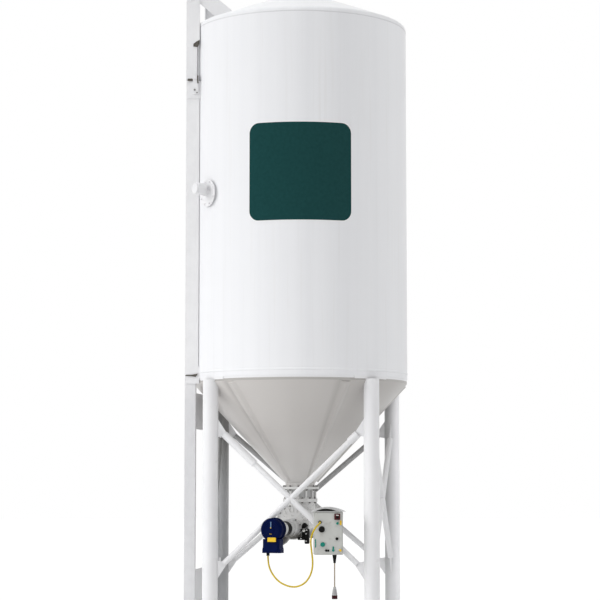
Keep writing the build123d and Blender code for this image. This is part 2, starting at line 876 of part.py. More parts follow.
# Open discharge spout below the end of the mixing tube
spout_distance = mixing_tube_end - tube_flange_thickness - discharge_radius
spout_centre = mixer_plane(-spout_distance, screw_height).origin
mixing_rod = rod_between(
    mixer_plane(-mixing_tube_end, screw_height).origin,
    mixer_plane(-tube_start, screw_height).origin,
    2 * (mixing_tube_radius + seam_clearance),
)
with BuildPart() as discharge_spout:
    with BuildSketch(Plane.XY.offset(screw_height - discharge_drop)):
        with Locations((spout_centre.X, spout_centre.Y)):
            Circle(discharge_radius)
            Circle(discharge_radius - mixing_tube_wall, mode=Mode.SUBTRACT)
    extrude(amount=discharge_drop)
    add(mixing_rod, mode=Mode.SUBTRACT)
discharge_spout.part.label = "discharge_spout"
export_step(discharge_spout.part, "parts/discharge_spout.step")

# Control box with its door
box_centre = box_bottom + box_height / 2
with BuildPart() as control_box:
    with BuildSketch(box_plane(0, box_centre)):
        RectangleRounded(box_width, box_height, box_corner)
    extrude(amount=box_depth)
    with BuildSketch(box_plane(box_depth, box_centre)):
        RectangleRounded(box_width - door_margin, box_height - door_margin, box_corner)
    extrude(amount=door_thickness)
control_box.part.label = "control_box"
export_step(control_box.part, "parts/control_box.step")
box_face = box_depth + door_thickness

# Arched rain hood on the box
hood_half = box_width / 2 + hood_overhang
hood_level = box_bottom + box_height
with BuildPart() as box_hood:
    with BuildSketch(box_plane(0, 0)):
        with BuildLine():
            Line((-hood_half, hood_level), (hood_half, hood_level))
            Line((hood_half, hood_level), (hood_half, hood_level + hood_sheet))
            ThreePointArc(
                (hood_half, hood_level + hood_sheet),
                (0, hood_level + hood_sheet + hood_rise),
                (-hood_half, hood_level + hood_sheet),
            )
            Line((-hood_half, hood_level + hood_sheet), (-hood_half, hood_level))
        make_face()
    extrude(amount=box_face + hood_overhang)
    with BuildSketch(box_plane(box_face, 0)):
        with BuildLine():
            Line((-box_width / 2, hood_level), (box_width / 2, hood_level))
            ThreePointArc(
                (box_width / 2, hood_level),
                (0, hood_level + hood_rise),
                (-box_width / 2, hood_level),
            )
        make_face()
    extrude(amount=hood_overhang, mode=Mode.SUBTRACT)
box_hood.part.label = "box_hood"
export_step(box_hood.part, "parts/box_hood.step")

# Knob, buttons, lamps and switch on the door, placed from its middle
with BuildPart() as box_controls:
    with BuildSketch(box_plane(box_face, box_centre)):
        with Locations(knob_place):
            Circle(knob_radius)
    extrude(amount=knob_length)
    with BuildSketch(box_plane(box_face, box_centre)):
        with Locations(*button_places):
            Circle(button_radius)
    extrude(amount=button_length)
    with BuildSketch(box_plane(box_face, box_centre)):
        with Locations(*lamp_places):
            Circle(lamp_radius)
    extrude(amount=lamp_length)
    with BuildSketch(box_plane(box_face, box_centre)):
        with Locations(switch_place):
            Rectangle(switch_width, switch_height)
    extrude(amount=knob_length)
box_controls.part.label = "box_controls"
export_step(box_controls.part, "parts/box_controls.step")

# Bars that hang the box on the front braces
with BuildPart() as box_bracket:
    for height in bracket_heights:
        with BuildSketch(box_plane(-bracket_reach_back, box_centre + height)):
            with Locations((bracket_side, 0)):
                Rectangle(bracket_bar_width, bracket_bar_height)
        extrude(amount=bracket_reach_back)
    for rod in front_brace_rods:
        add(rod, mode=Mode.SUBTRACT)
box_bracket.part.label = "box_bracket"
export_step(box_bracket.part, "parts/box_bracket.step")

# Cable glands: terminal box, box door, and the long tapered one under the box
terminal_exit = mixer_plane(motor_mid, terminal_bottom).from_local_coords((terminal_exit_side, 0, 0))
door_exit_plane = box_plane(box_face, box_centre)
lead_exit = box_plane(box_depth / 2, box_bottom).from_local_coords((lead_side, 0, 0))
with BuildPart() as cable_glands:
    with BuildSketch(Plane.XY.offset(terminal_bottom - gland_length)):
        with Locations((terminal_exit.X, terminal_exit.Y)):
            Circle(gland_radius)
    extrude(amount=gland_length)
    with BuildSketch(door_exit_plane):
        with Locations(door_exit):
            Circle(gland_radius)
    extrude(amount=gland_length)
    with BuildSketch(Plane.XY.offset(box_bottom)):
        with Locations((lead_exit.X, lead_exit.Y)):
            Circle(lead_gland_radius)
    with BuildSketch(Plane.XY.offset(box_bottom - lead_gland_length)):
        with Locations((lead_exit.X, lead_exit.Y)):
            Circle(lead_gland_tip)
    loft()
cable_glands.part.label = "cable_glands"
export_step(cable_glands.part, "parts/cable_glands.step")


def corner_radii(points, share):
    """Radius at each corner: a share of the shorter run over the tangent of half the turn."""
    radii = []
    for before, corner, after in zip(points, points[1:], points[2:]):
        first = corner - before
        second = after - corner
        half_turn = radians(first.get_angle(second) / 2)
        radii.append(share * min(first.length, second.length) / tan(half_turn))
    return radii


# Motor cable, hanging free from the terminal box to the box door
cable_start = Vector(terminal_exit.X, terminal_exit.Y, terminal_bottom - gland_length)
cable_end = door_exit_plane.from_local_coords((*door_exit, gland_length))
cable_points = [cable_start, cable_start - Vector(0, 0, cable_drop)]
cable_points += [Vector(*point) for point in cable_route]
cable_points += [cable_end + door_exit_plane.z_dir * cable_reach, cable_end]
cable_radii = corner_radii(cable_points, cable_corner_share)
print("motor cable radii", [round(radius) for radius in cable_radii])
with BuildPart() as motor_cable:
    with BuildLine() as cable_path:
        FilletPolyline(*cable_points, radius=cable_radii)
    with BuildSketch(Plane(origin=cable_start, z_dir=cable_points[1] - cable_start)):
        Circle(motor_cable_diameter / 2)
    sweep()
motor_cable.part.label = "motor_cable"
export_step(motor_cable.part, "parts/motor_cable.step")
cable_length = sum(edge.length for edge in cable_path.edges())
print("motor cable length", round(cable_length), "volume", round(motor_cable.part.volume))

# Supply lead, hanging straight under the weight of its plug
lead_top = box_bottom - lead_gland_length
with BuildPart() as supply_lead:
    with BuildSketch(Plane.XY.offset(lead_top - lead_length)):
        with Locations((lead_exit.X, lead_exit.Y)):
            Circle(lead_diameter / 2)
    extrude(amount=lead_length)
supply_lead.part.label = "supply_lead"
export_step(supply_lead.part, "parts/supply_lead.step")

# Plug on the lead: tapered grip and collar
plug_top = lead_top - lead_length
with BuildPart() as supply_plug:
    with BuildSketch(Plane.XY.offset(plug_top)):
        with Locations((lead_exit.X, lead_exit.Y)):
            Circle(plug_tip)
    with BuildSketch(Plane.XY.offset(plug_top - plug_length)):
        with Locations((lead_exit.X, lead_exit.Y)):
            Circle(plug_radius)
    loft()
    with BuildSketch(Plane.XY.offset(plug_top - plug_length - plug_end)):
        with Locations((lead_exit.X, lead_exit.Y)):
            Circle(plug_end_radius)
    extrude(amount=plug_end)
supply_plug.part.label = "supply_plug"
export_step(supply_plug.part, "parts/supply_plug.step")
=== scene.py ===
import math

import bmesh
import bpy
from mathutils import Matrix, Vector


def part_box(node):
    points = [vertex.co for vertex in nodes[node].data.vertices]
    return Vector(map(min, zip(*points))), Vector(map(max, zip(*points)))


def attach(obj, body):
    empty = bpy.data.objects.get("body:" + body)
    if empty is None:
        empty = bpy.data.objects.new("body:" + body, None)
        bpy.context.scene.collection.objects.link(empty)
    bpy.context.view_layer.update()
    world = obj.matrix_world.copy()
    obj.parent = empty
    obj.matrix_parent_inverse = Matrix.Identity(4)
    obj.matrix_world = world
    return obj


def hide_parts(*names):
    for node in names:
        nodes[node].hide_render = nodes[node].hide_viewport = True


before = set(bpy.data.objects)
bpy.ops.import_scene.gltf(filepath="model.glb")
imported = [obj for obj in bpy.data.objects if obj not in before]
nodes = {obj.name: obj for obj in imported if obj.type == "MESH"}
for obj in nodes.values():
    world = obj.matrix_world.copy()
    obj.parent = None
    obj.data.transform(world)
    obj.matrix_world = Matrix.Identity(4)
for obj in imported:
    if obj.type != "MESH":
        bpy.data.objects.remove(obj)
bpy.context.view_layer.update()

# All lengths are in metres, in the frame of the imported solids

# Camera: distance, turn to the right of the front, its own turn, eye height, upward tilt and lens
CAMERA_DISTANCE = 21.6
CAMERA_TURN = math.radians(7.5)
CAMERA_YAW = math.radians(0.01)
CAMERA_HEIGHT = 2.4
CAMERA_TILT = math.radians(5.248)
CAMERA_LENS = 115.5
CAMERA_SENSOR = 36
CAMERA_REACH = 200

# Shell, and the panel on its front: thickness of its sheet and direction of its middle
SHELL_RADIUS = 1.2
SHELL_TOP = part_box("wall_plate_1")[1].z
SKIN = 0.0012
PANEL_ANGLE = math.radians(-82.5)

# Cone, skirt above it that is white from WHITE_EDGE on and painted shade below that, and folds with a band of
# painted shade beside each
CONE_RADIUS = 1.1937
CONE_BOTTOM = 2.330
OUTLET_RADIUS = 0.165
SKIRT_BOTTOM = 3.430
WHITE_EDGE = 3.457
FOLD_ANGLES = (-121.5, -58.0, 14.0, 86.0, 158.0)
FOLD_LIFT = 0.020
FOLD_WIDTH_LOW = 0.045
FOLD_WIDTH_GAIN = 0.100
FOLD_SHADE_OFFSET = 0.062
FOLD_SHADE_WIDTH = 0.060

# Legs, and how far the rear right one lies along the level direction in which its painted shade fades
LEG_CENTRES = ((0.8766, -0.8061), (-0.8766, -0.8061), (0.9843, 0.5256), (-0.9843, 0.5256))
SHADE_DIRECTION = (0.99, 0.13)
LEG_SIDE = 1.0428
FOOT_PLATE_TOP = 0.020
ANCHOR_SPACING = 0.11

# Transport frame: y of the rails' outer faces and of the plates on them
RAIL_FACE = 0.585
PLATE_FACE = 0.600

# Level sensor: direction, height and outer face of its flange
SENSOR_ANGLE = math.radians(221)
SENSOR_HEIGHT = 5.5
SENSOR_FACE = 1.224

# Mixer: turn from the front, shift of its axis, heights and faces along the axis
MIXER_TURN = math.radians(11.9)
MIXER_OFFSET = 0.031
SCREW_HEIGHT = 1.84
DRUM_HEIGHT = 1.905
DRUM_FACE = 0.328
GEAR_FACE = 0.350
GEAR_RADIUS = 0.075
MOTOR_FACE = 1.040
TERMINAL_FACE = 1.025
TERMINAL_HEIGHT = 1.655

# Control box: turn from the front, middle of its back, depth to the door and height of its middle
BOX_TURN = math.radians(10)
BOX_CENTRE_X = 0.409
BOX_BACK_Y = -0.875
BOX_FACE = 0.174
BOX_CENTRE = 1.805

UP = Vector((0, 0, 1))


def frame_matrix(x_axis, z_axis, origin):
    """Matrix that takes local x and z to the given directions, and y upwards."""
    matrix = Matrix((x_axis, UP, z_axis)).transposed().to_4x4()
    matrix.translation = origin
    return matrix


def outward_frame(angle, radius, height):
    """Local x along the shell, y up, z away from the silo's axis."""
    x_axis = Vector((-math.sin(angle), math.cos(angle), 0))
    z_axis = Vector((math.cos(angle), math.sin(angle), 0))
    return frame_matrix(x_axis, z_axis, z_axis * radius + UP * height)


def mixer_frame(distance, height):
    """Square to the mixer's long axis, z towards its drive end, y up."""
    z_axis = Vector((-math.sin(MIXER_TURN), -math.cos(MIXER_TURN), 0))
    x_axis = Vector((math.cos(MIXER_TURN), -math.sin(MIXER_TURN), 0))
    return frame_matrix(x_axis, z_axis, x_axis * MIXER_OFFSET + z_axis * distance + UP * height)


def box_frame(distance, height):
    """Parallel to the control box's face, z out of the face, y up."""
    z_axis = Vector((math.sin(BOX_TURN), -math.cos(BOX_TURN), 0))
    x_axis = Vector((math.cos(BOX_TURN), math.sin(BOX_TURN), 0))
    return frame_matrix(x_axis, z_axis, Vector((BOX_CENTRE_X, BOX_BACK_Y, height)) + z_axis * distance)


def level_frame(x, y, height):
    """Upright frame at a point."""
    return Matrix.Translation((x, y, height))


def rail_frame(y, side=-1):
    """Along the rails' outer faces: x as it is, y up, z out of the face."""
    return frame_matrix(Vector((-side, 0, 0)), Vector((0, side, 0)), Vector((0, y, 0)))


def moved(matrix, x, y, z=0.0):
    """The same frame, shifted along its own axes."""
    return matrix @ Matrix.Translation((x, y, z))


def make_camera():
    camera_data = bpy.data.cameras.new("camera")
    camera_data.lens = CAMERA_LENS
    camera_data.sensor_width = CAMERA_SENSOR
    camera_data.clip_end = CAMERA_REACH
    camera = bpy.data.objects.new("camera", camera_data)
    bpy.context.scene.collection.objects.link(camera)
    camera.location = (
        CAMERA_DISTANCE * math.sin(CAMERA_TURN),
        -CAMERA_DISTANCE * math.cos(CAMERA_TURN),
        CAMERA_HEIGHT,
    )
    camera.rotation_euler = (math.pi / 2 + CAMERA_TILT, 0, CAMERA_TURN + CAMERA_YAW)
    bpy.context.scene.camera = camera


# Bump grain of sprayed, cast and smooth surfaces and of plastic
SPRAY_GRAIN = 260.0
CAST_GRAIN = 120.0
SMOOTH_GRAIN = 60.0
PLASTIC_GRAIN = 400.0
# Most of a noise texture lies between these values
NOISE_LOW = 0.3
NOISE_HIGH = 0.7


class Material:
    """A node material with short helpers for its nodes and links."""

    def __init__(self, name):
        self.material = bpy.data.materials.new(name)
        self.material.use_nodes = True
        self.nodes = self.material.node_tree.nodes
        self.links = self.material.node_tree.links
        self.shader = self.nodes["Principled BSDF"]
        coordinates = self.nodes.new("ShaderNodeTexCoord")
        self.place = coordinates.outputs["Object"]

    def stretched(self, scale):
        mapping = self.nodes.new("ShaderNodeMapping")
        mapping.inputs["Scale"].default_value = scale
        self.links.new(self.place, mapping.inputs["Vector"])
        return mapping.outputs["Vector"]

    def noise(self, scale, detail=4.0, vector=None, rough=0.5):
        node = self.nodes.new("ShaderNodeTexNoise")
        node.inputs["Scale"].default_value = scale
        node.inputs["Detail"].default_value = detail
        node.inputs["Roughness"].default_value = rough
        self.links.new(vector or self.place, node.inputs["Vector"])
        return node.outputs["Fac"]

    def ramp(self, value, low, high, start=0.0, end=1.0):
        node = self.nodes.new("ShaderNodeMapRange")
        node.inputs["From Min"].default_value = low
        node.inputs["From Max"].default_value = high
        node.inputs["To Min"].default_value = start
        node.inputs["To Max"].default_value = end
        self.links.new(value, node.inputs["Value"])
        return node.outputs["Result"]

    def vary(self, value, start=0.0, end=1.0):
        """Spread a noise over a range."""
        return self.ramp(value, NOISE_LOW, NOISE_HIGH, start, end)

    def math(self, operation, first, second):
        node = self.nodes.new("ShaderNodeMath")
        node.operation = operation
        for socket, value in zip(node.inputs, (first, second)):
            if isinstance(value, (int, float)):
                socket.default_value = value
            else:
                self.links.new(value, socket)
        return node.outputs["Value"]

    def mix(self, factor, first, second):
        node = self.nodes.new("ShaderNodeMix")
        node.data_type = "RGBA"
        self.links.new(factor, node.inputs["Factor"])
        for socket, value in zip((node.inputs[6], node.inputs[7]), (first, second)):
            if isinstance(value, tuple):
                socket.default_value = (*value, 1)
            else:
                self.links.new(value, socket)
        return node.outputs[2]

    def axes(self):
        node = self.nodes.new("ShaderNodeSeparateXYZ")
        self.links.new(self.place, node.inputs["Vector"])
        return node.outputs["X"], node.outputs["Y"], node.outputs["Z"]

    def height(self):
        return self.axes()[2]

    def along(self, x_share, y_share):
        """Distance along a level direction."""
        x, y, _ = self.axes()
        return self.math("ADD", self.math("MULTIPLY", x, x_share), self.math("MULTIPLY", y, y_share))

    def angle(self):
        """Angle about the silo's axis."""
        x, y, _ = self.axes()
        return self.math("ARCTAN2", y, x)

    def bands(self, scale, detail):
        """Upright bands round the silo."""
        node = self.nodes.new("ShaderNodeTexNoise")
        node.noise_dimensions = "1D"
        node.inputs["Scale"].default_value = scale
        node.inputs["Detail"].default_value = detail
        self.links.new(self.angle(), node.inputs["W"])
        return self.ramp(node.outputs["Fac"], 0.35, 0.65)

    def worn_finish(self, patches):
        """Roughness in patches and the bump of sprayed paint."""
        self.roughness(self.vary(patches, 0.38, 0.55))
        self.bump(self.noise(SPRAY_GRAIN, 2), 0.08, 0.002)

    def bump(self, height, strength, distance):
        node = self.nodes.new("ShaderNodeBump")
        node.inputs["Strength"].default_value = strength
        node.inputs["Distance"].default_value = distance
        self.links.new(height, node.inputs["Height"])
        self.links.new(node.outputs["Normal"], self.shader.inputs["Normal"])

    def colour(self, value):
        self.links.new(value, self.shader.inputs["Base Color"])

    def roughness(self, value):
        self.links.new(value, self.shader.inputs["Roughness"])

    def gloss(self, level):
        self.shader.inputs["Specular IOR Level"].default_value = level


# Dark colour below a height on the mixer, and half the height over which one colour passes into the next
LOW_DARK_COLOUR = (0.12, 0.115, 0.10)
EDGE_FADE = 0.001


def painted_metal(
    name, colour, shade, dirt, dirt_level, roughness, grain=SPRAY_GRAIN, gloss=0.5, splashes=None, low_level=None
):
    """Sprayed paint: soft tone changes, dust in patches, fine orange-peel bump.

    splashes is the colour of small spots, low_level the height below which it is darker, in patches.
    """
    paint = Material(name)
    paint.gloss(gloss)
    tone = paint.vary(paint.noise(1.7, 3))
    base = paint.mix(tone, colour, shade)
    patches = paint.noise(9.0, 8, rough=0.65)
    dust = paint.ramp(patches, 1 - dirt_level, 1 - dirt_level + 0.18, 0.0, 0.8)
    covered = paint.mix(dust, base, dirt)
    if splashes:
        spots = paint.ramp(paint.noise(42.0, 5, rough=0.6), 0.57, 0.65, 0.0, 0.5)
        covered = paint.mix(spots, covered, splashes)
    if low_level:
        depth = paint.ramp(paint.height(), low_level - 0.035, low_level + 0.025, 0.95, 0.0)
        low_dark = paint.math("MULTIPLY", depth, paint.ramp(patches, 0.3, 0.5, 0.6, 1.0))
        covered = paint.mix(low_dark, covered, LOW_DARK_COLOUR)
    paint.colour(covered)
    paint.roughness(paint.vary(patches, roughness - 0.07, roughness + 0.12))
    paint.bump(paint.noise(grain, 2), 0.08, 0.002)
    return paint.material


def shell_paint():
    """White shell paint with faint upright plate bands and run-down streaks."""
    paint = Material("shell_paint")
    base = paint.mix(paint.bands(3.4, 5), (0.805, 0.81, 0.828), (0.772, 0.778, 0.798))
    streaks = paint.noise(1.0, 6, paint.stretched((26, 26, 0.55)))
    streak = paint.ramp(streaks, 0.56, 0.8, 0.0, 0.16)
    paint.colour(paint.mix(streak, base, (0.62, 0.60, 0.57)))
    paint.gloss(0.4)
    paint.roughness(paint.vary(paint.noise(2.3, 4), 0.33, 0.43))
    dents = paint.noise(1.3, 3, paint.stretched((1, 1, 0.5)))
    paint.bump(dents, 0.10, 0.02)
    return paint.material


def cone_paint():
    """Grey-brown paint with dust, painted shade to the right, beside the folds and low on the skirt, painted light
    low down on the cone, and white on the skirt above.
    """
    paint = Material("cone_paint")
    base = paint.mix(paint.bands(1.6, 1), (0.615, 0.592, 0.573), (0.59, 0.567, 0.548))
    patches = paint.ramp(paint.noise(2.2, 4), 0.5, 0.8, 0.0, 0.2)
    dust_light_and_shade = paint.mix(patches, base, (0.52, 0.495, 0.475))
    # Painted shade: darker towards the right side
    right_shade = paint.ramp(paint.along(0.85, -0.1), -0.5, 1.0, 0.0, 0.95)
    dust_light_and_shade = paint.mix(right_shade, dust_light_and_shade, (0.42, 0.405, 0.39))
    height = paint.height()
    # Painted light: lighter towards the bottom of the cone
    low_light = paint.ramp(height, CONE_BOTTOM, CONE_BOTTOM + 0.55, 0.7, 0.0)
    dust_light_and_shade = paint.mix(low_light, dust_light_and_shade, (0.70, 0.685, 0.67))
    angle = paint.angle()
    # Painted shade: a dark band beside each fold
    for fold in FOLD_ANGLES:
        shade_angle = math.radians(fold) - FOLD_SHADE_OFFSET
        away = paint.math("ABSOLUTE", paint.math("SUBTRACT", angle, shade_angle), 0.0)
        dust_light_and_shade = paint.mix(paint.ramp(away, 0.0, FOLD_SHADE_WIDTH, 0.5, 0.0), dust_light_and_shade, (0.34, 0.325, 0.31))
    # Painted shade: a dark band low on the skirt, under the shell's rim
    skirt_shade = paint.ramp(height, SKIRT_BOTTOM - EDGE_FADE, SKIRT_BOTTOM + EDGE_FADE)
    white = paint.ramp(height, WHITE_EDGE - EDGE_FADE, WHITE_EDGE + EDGE_FADE)
    paint.colour(paint.mix(white, paint.mix(skirt_shade, dust_light_and_shade, (0.40, 0.385, 0.37)), (0.79, 0.795, 0.81)))
    paint.roughness(paint.vary(paint.noise(2.0, 5), 0.28, 0.40))
    paint.bump(paint.noise(SMOOTH_GRAIN, 4), 0.04, 0.002)
    return paint.material


def two_height_paint(name, upper, lower, height, spread):
    """Paint with one tone above a height and another below it, each in worn patches."""
    paint = Material(name)
    level = paint.ramp(paint.height(), height - spread, height + spread)
    patches = paint.noise(7.0, 7, rough=0.6)
    share = paint.ramp(patches, 0.4, 0.7)
    low_tone = paint.mix(share, lower, tuple(0.94 * part for part in lower))
    high_tone = paint.mix(share, upper, tuple(0.95 * part for part in upper))
    paint.colour(paint.mix(level, low_tone, high_tone))
    paint.worn_finish(patches)
    return paint.material


def lit_half_shaded_paint():
    """White paint of the rear right leg, lighter than the frame paint as painted light, with painted shade in grey
    on the side towards the mixer.
    """
    paint = Material("lit_half_shaded_leg_paint")
    patches = paint.noise(7.0, 7, rough=0.6)
    lit_white = paint.mix(paint.ramp(patches, 0.4, 0.7), (0.94, 0.94, 0.96), (0.90, 0.90, 0.92))
    # Painted shade: grey on the side towards the mixer
    dust = paint.ramp(paint.along(*SHADE_DIRECTION), LEG_SIDE - 0.065, LEG_SIDE + 0.045, 0.9, 0.0)
    paint.colour(paint.mix(dust, lit_white, (0.42, 0.425, 0.43)))
    paint.worn_finish(patches)
    return paint.material


def plastic(name, colour, shade, roughness=0.35, gloss=0.5, grain=PLASTIC_GRAIN):
    """Moulded plastic or rubber: faint tone change, fine grain."""
    paint = Material(name)
    paint.gloss(gloss)
    wear = paint.noise(30.0, 5)
    paint.colour(paint.mix(paint.ramp(wear, 0.35, 0.7), colour, shade))
    paint.roughness(paint.vary(wear, roughness, roughness + 0.15))
    paint.bump(paint.noise(grain, 2), 0.1, 0.001)
    return paint.material


# The rows say what painted_metal, two_height_paint and plastic are called with
PAINTED = {
    "frame": ("frame_paint", (0.80, 0.80, 0.81), (0.75, 0.75, 0.765), (0.60, 0.58, 0.56), 0.36, 0.5),
    "outlet": ("outlet_paint", (0.80, 0.80, 0.79), (0.68, 0.68, 0.67), (0.60, 0.59, 0.58), 0.5, 0.55, CAST_GRAIN),
    "mixer": (
        "mixer_paint", (0.80, 0.80, 0.80), (0.64, 0.64, 0.635), (0.74, 0.735, 0.72), 0.6, 0.6, CAST_GRAIN, 0.5,
        (0.17, 0.165, 0.155), 1.82,
    ),
    "gear": (
        "gear_paint", (0.66, 0.66, 0.66), (0.52, 0.52, 0.515), (0.70, 0.69, 0.67), 0.5, 0.55, CAST_GRAIN, 0.5,
        None, 1.79,
    ),
    "motor": (
        "motor_paint", (0.0008, 0.0060, 0.052), (0.0006, 0.0030, 0.026), (0.005, 0.016, 0.060), 0.36, 0.38,
        SPRAY_GRAIN, 0.03,
    ),
    "box": ("box_paint", (0.54, 0.545, 0.525), (0.47, 0.475, 0.455), (0.36, 0.35, 0.33), 0.45, 0.5),
    "hood": ("hood_paint", (0.60, 0.60, 0.60), (0.50, 0.50, 0.50), (0.36, 0.35, 0.34), 0.45, 0.5),
    # Painted shade: this grey stands in for the shade between the outlet's rods
    "sleeve": ("rod_gap_shade", (0.60, 0.60, 0.60), (0.46, 0.46, 0.458), (0.62, 0.61, 0.60), 0.5, 0.5),
    "steel": ("bolt_steel", (0.20, 0.195, 0.19), (0.13, 0.125, 0.12), (0.10, 0.08, 0.065), 0.45, 0.45),
    "zinc": ("zinc_steel", (0.55, 0.55, 0.55), (0.44, 0.44, 0.44), (0.36, 0.33, 0.30), 0.45, 0.4),
    "weld": ("weld_paint", (0.68, 0.68, 0.70), (0.62, 0.62, 0.64), (0.52, 0.51, 0.50), 0.4, 0.5),
}
# Painted shade: the dark upper tone of the rear braces, the dark tones of the shaded leg and left braces and the
# dark lower tone of the far rail stand in for the silo's shade; the near rail is darker below the shell's bottom
TWO_HEIGHT_PAINTS = {
    "rear_frame": ("rear_frame_paint", (0.40, 0.40, 0.405), (0.74, 0.74, 0.75), 1.95, 0.25),
    "shaded_leg": ("shaded_leg_paint", (0.26, 0.26, 0.255), (0.40, 0.405, 0.415), 2.5, 0.35),
    "near_rail": ("near_rail_paint", (0.80, 0.80, 0.81), (0.68, 0.68, 0.695), 3.4, 0.25),
    "far_rail": ("far_rail_paint", (0.80, 0.80, 0.81), (0.34, 0.35, 0.36), 3.4, 0.25),
}
PLASTICS = {
    "black": ("black_plastic", (0.006, 0.006, 0.006), (0.014, 0.014, 0.014), 0.35, 0.06),
    # Painted shade: the brown pads on the rails stand in for shade under the heads, beside the catch and under the
    # low bracket
    "brown": ("painted_shade_brown", (0.120, 0.110, 0.096), (0.070, 0.064, 0.056), 0.6, 0.2),
    "green": ("green_plastic", (0.008, 0.20, 0.155), (0.012, 0.25, 0.19), 0.35, 0.2),
    "yellow": ("yellow_plastic", (0.80, 0.53, 0.02), (0.70, 0.44, 0.02), 0.35, 0.3),
    "dark_red": ("dark_red_plastic", (0.085, 0.018, 0.022), (0.055, 0.012, 0.014), 0.45, 0.1),
    "pale": ("pale_plastic", (0.74, 0.74, 0.72), (0.66, 0.66, 0.64), 0.45, 0.3),
    "blue_grey": ("blue_grey_plastic", (0.16, 0.26, 0.42), (0.10, 0.18, 0.32), 0.4, 0.3),
    "cable": ("cable_sheath", (0.60, 0.43, 0.012), (0.46, 0.33, 0.010), 0.45, 0.25),
    "lead": ("lead_sheath", (0.34, 0.27, 0.19), (0.24, 0.19, 0.14), 0.5),
    "plug": ("plug_grip", (0.42, 0.42, 0.42), (0.33, 0.33, 0.33), 0.5),
    "shroud": ("shroud_red", (0.045, 0.010, 0.012), (0.030, 0.007, 0.008), 0.5, 0.08),
    "panel": ("panel_green", (0.0055, 0.047, 0.047), (0.0048, 0.042, 0.042), 0.55, 0.12, SMOOTH_GRAIN),
    "edge_white": ("edge_white", (0.86, 0.86, 0.86), (0.82, 0.82, 0.82), 0.4, 0.5, SMOOTH_GRAIN),
}


def make_materials():
    mats = {"shell": shell_paint(), "cone": cone_paint(), "lit_half_shaded_leg": lit_half_shaded_paint()}
    for paint, table in ((painted_metal, PAINTED), (two_height_paint, TWO_HEIGHT_PAINTS), (plastic, PLASTICS)):
        for key, looks in table.items():
            mats[key] = paint(*looks)
    return mats


def dress(material, *names):
    """Give CAD nodes a material on every slot."""
    for name in names:
        mesh = nodes[name].data
        mesh.materials.clear()
        mesh.materials.append(material)


def dress_nodes(mats):
    dress(mats["shell"], *(f"wall_plate_{number}" for number in range(1, 7)), "roof_dome", "roof_hatch")
    dress(mats["cone"], *(f"cone_plate_{number}" for number in range(1, 5)))
    dress(
        mats["frame"], "leg_front_left", "leg_front_right", "foot_plates", "leg_pads", "brace_gussets",
        "brace_sleeves", "front_brace_through", "front_brace_halves", "right_brace_through",
        "right_brace_halves", "rail_heads", "roof_struts", "rail_brackets", "frame_crossbars",
        "sensor_flange", "level_sensor", "fill_pipe", "vent_pipe", "pipe_clamps", "box_bracket",
    )
    dress(mats["rear_frame"], "rear_brace_through", "rear_brace_halves")
    dress(mats["shaded_leg"], "leg_rear_left", "left_brace_through", "left_brace_halves")
    dress(mats["lit_half_shaded_leg"], "leg_rear_right")
    dress(mats["far_rail"], "far_rail")
    dress(mats["near_rail"], "near_rail")
    dress(mats["outlet"], "outlet_flange", "outlet_valve")
    dress(mats["mixer"], "feed_housing", "housing_end_plates", "mixing_tube", "discharge_spout")
    dress(mats["gear"], "gear_unit")
    dress(mats["motor"], "motor", "terminal_box")
    dress(mats["box"], "control_box")
    dress(mats["hood"], "box_hood")
    dress(mats["black"], "box_controls", "cable_glands")
    dress(mats["cable"], "motor_cable")
    dress(mats["lead"], "supply_lead")
    dress(mats["plug"], "supply_plug")


SHARP_ANGLE = math.radians(32)


def piece(name, builder, material, body="root"):
    """Turn a bmesh into an object that rides on a body."""
    mesh = bpy.data.meshes.new(name)
    bmesh.ops.recalc_face_normals(builder, faces=builder.faces)
    builder.to_mesh(mesh)
    builder.free()
    mesh.materials.append(material)
    for face in mesh.polygons:
        face.use_smooth = True
    mesh.set_sharp_from_angle(angle=SHARP_ANGLE)
    thing = bpy.data.objects.new(name, mesh)
    bpy.context.scene.collection.objects.link(thing)
    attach(thing, body)
    return thing


def join_rings(builder, lower, upper):
    """Faces between two closed rings of as many points."""
    count = len(lower)
    for side in range(count):
        following = (side + 1) % count
        builder.faces.new((lower[side], lower[following], upper[following], upper[side]))


def add_ring(builder, matrix, outline, height):
    return [builder.verts.new(matrix @ Vector((x, y, height))) for x, y in outline]


def skin_rings(builder, rings):
    """Skin over a row of rings, closed at both ends."""
    for lower, upper in zip(rings, rings[1:]):
        join_rings(builder, lower, upper)
    builder.faces.new(list(reversed(rings[0])))
    builder.faces.new(rings[-1])


def add_layers(builder, matrix, layers):
    """Skin over (outline, height) layers in a frame."""
    skin_rings(builder, [add_ring(builder, matrix, outline, height) for outline, height in layers])


def circle_outline(radius, sides):
    turns = (2 * math.pi * side / sides for side in range(sides))
    return [(radius * math.cos(turn), radius * math.sin(turn)) for turn in turns]


def rounded_outline(width, height, corner, steps=5):
    """Rectangle with rounded corners about the origin."""
    points = []
    for x_side, y_side, start in ((1, 1, 0), (-1, 1, 90), (-1, -1, 180), (1, -1, 270)):
        for step in range(steps + 1):
            turn = math.radians(start + 90 * step / steps)
            x = x_side * (width / 2 - corner) + corner * math.cos(turn)
            y = y_side * (height / 2 - corner) + corner * math.sin(turn)
            points.append((x, y))
    return points


def fluted_outline(radius, depth, flutes, steps=6):
    """Circle with a wavy edge, as on a grip knob."""
    points = []
    count = flutes * steps
    for number in range(count):
        turn = 2 * math.pi * number / count
        reach = radius - depth * (0.5 - 0.5 * math.cos(flutes * turn)) ** 2
        points.append((reach * math.cos(turn), reach * math.sin(turn)))
    return points


def add_turned(builder, matrix, profile, sides):
    """Turn a profile of (radius, height) points about a frame's z axis, closed at its ends."""
    add_layers(builder, matrix, [(circle_outline(radius, sides), height) for radius, height in profile])


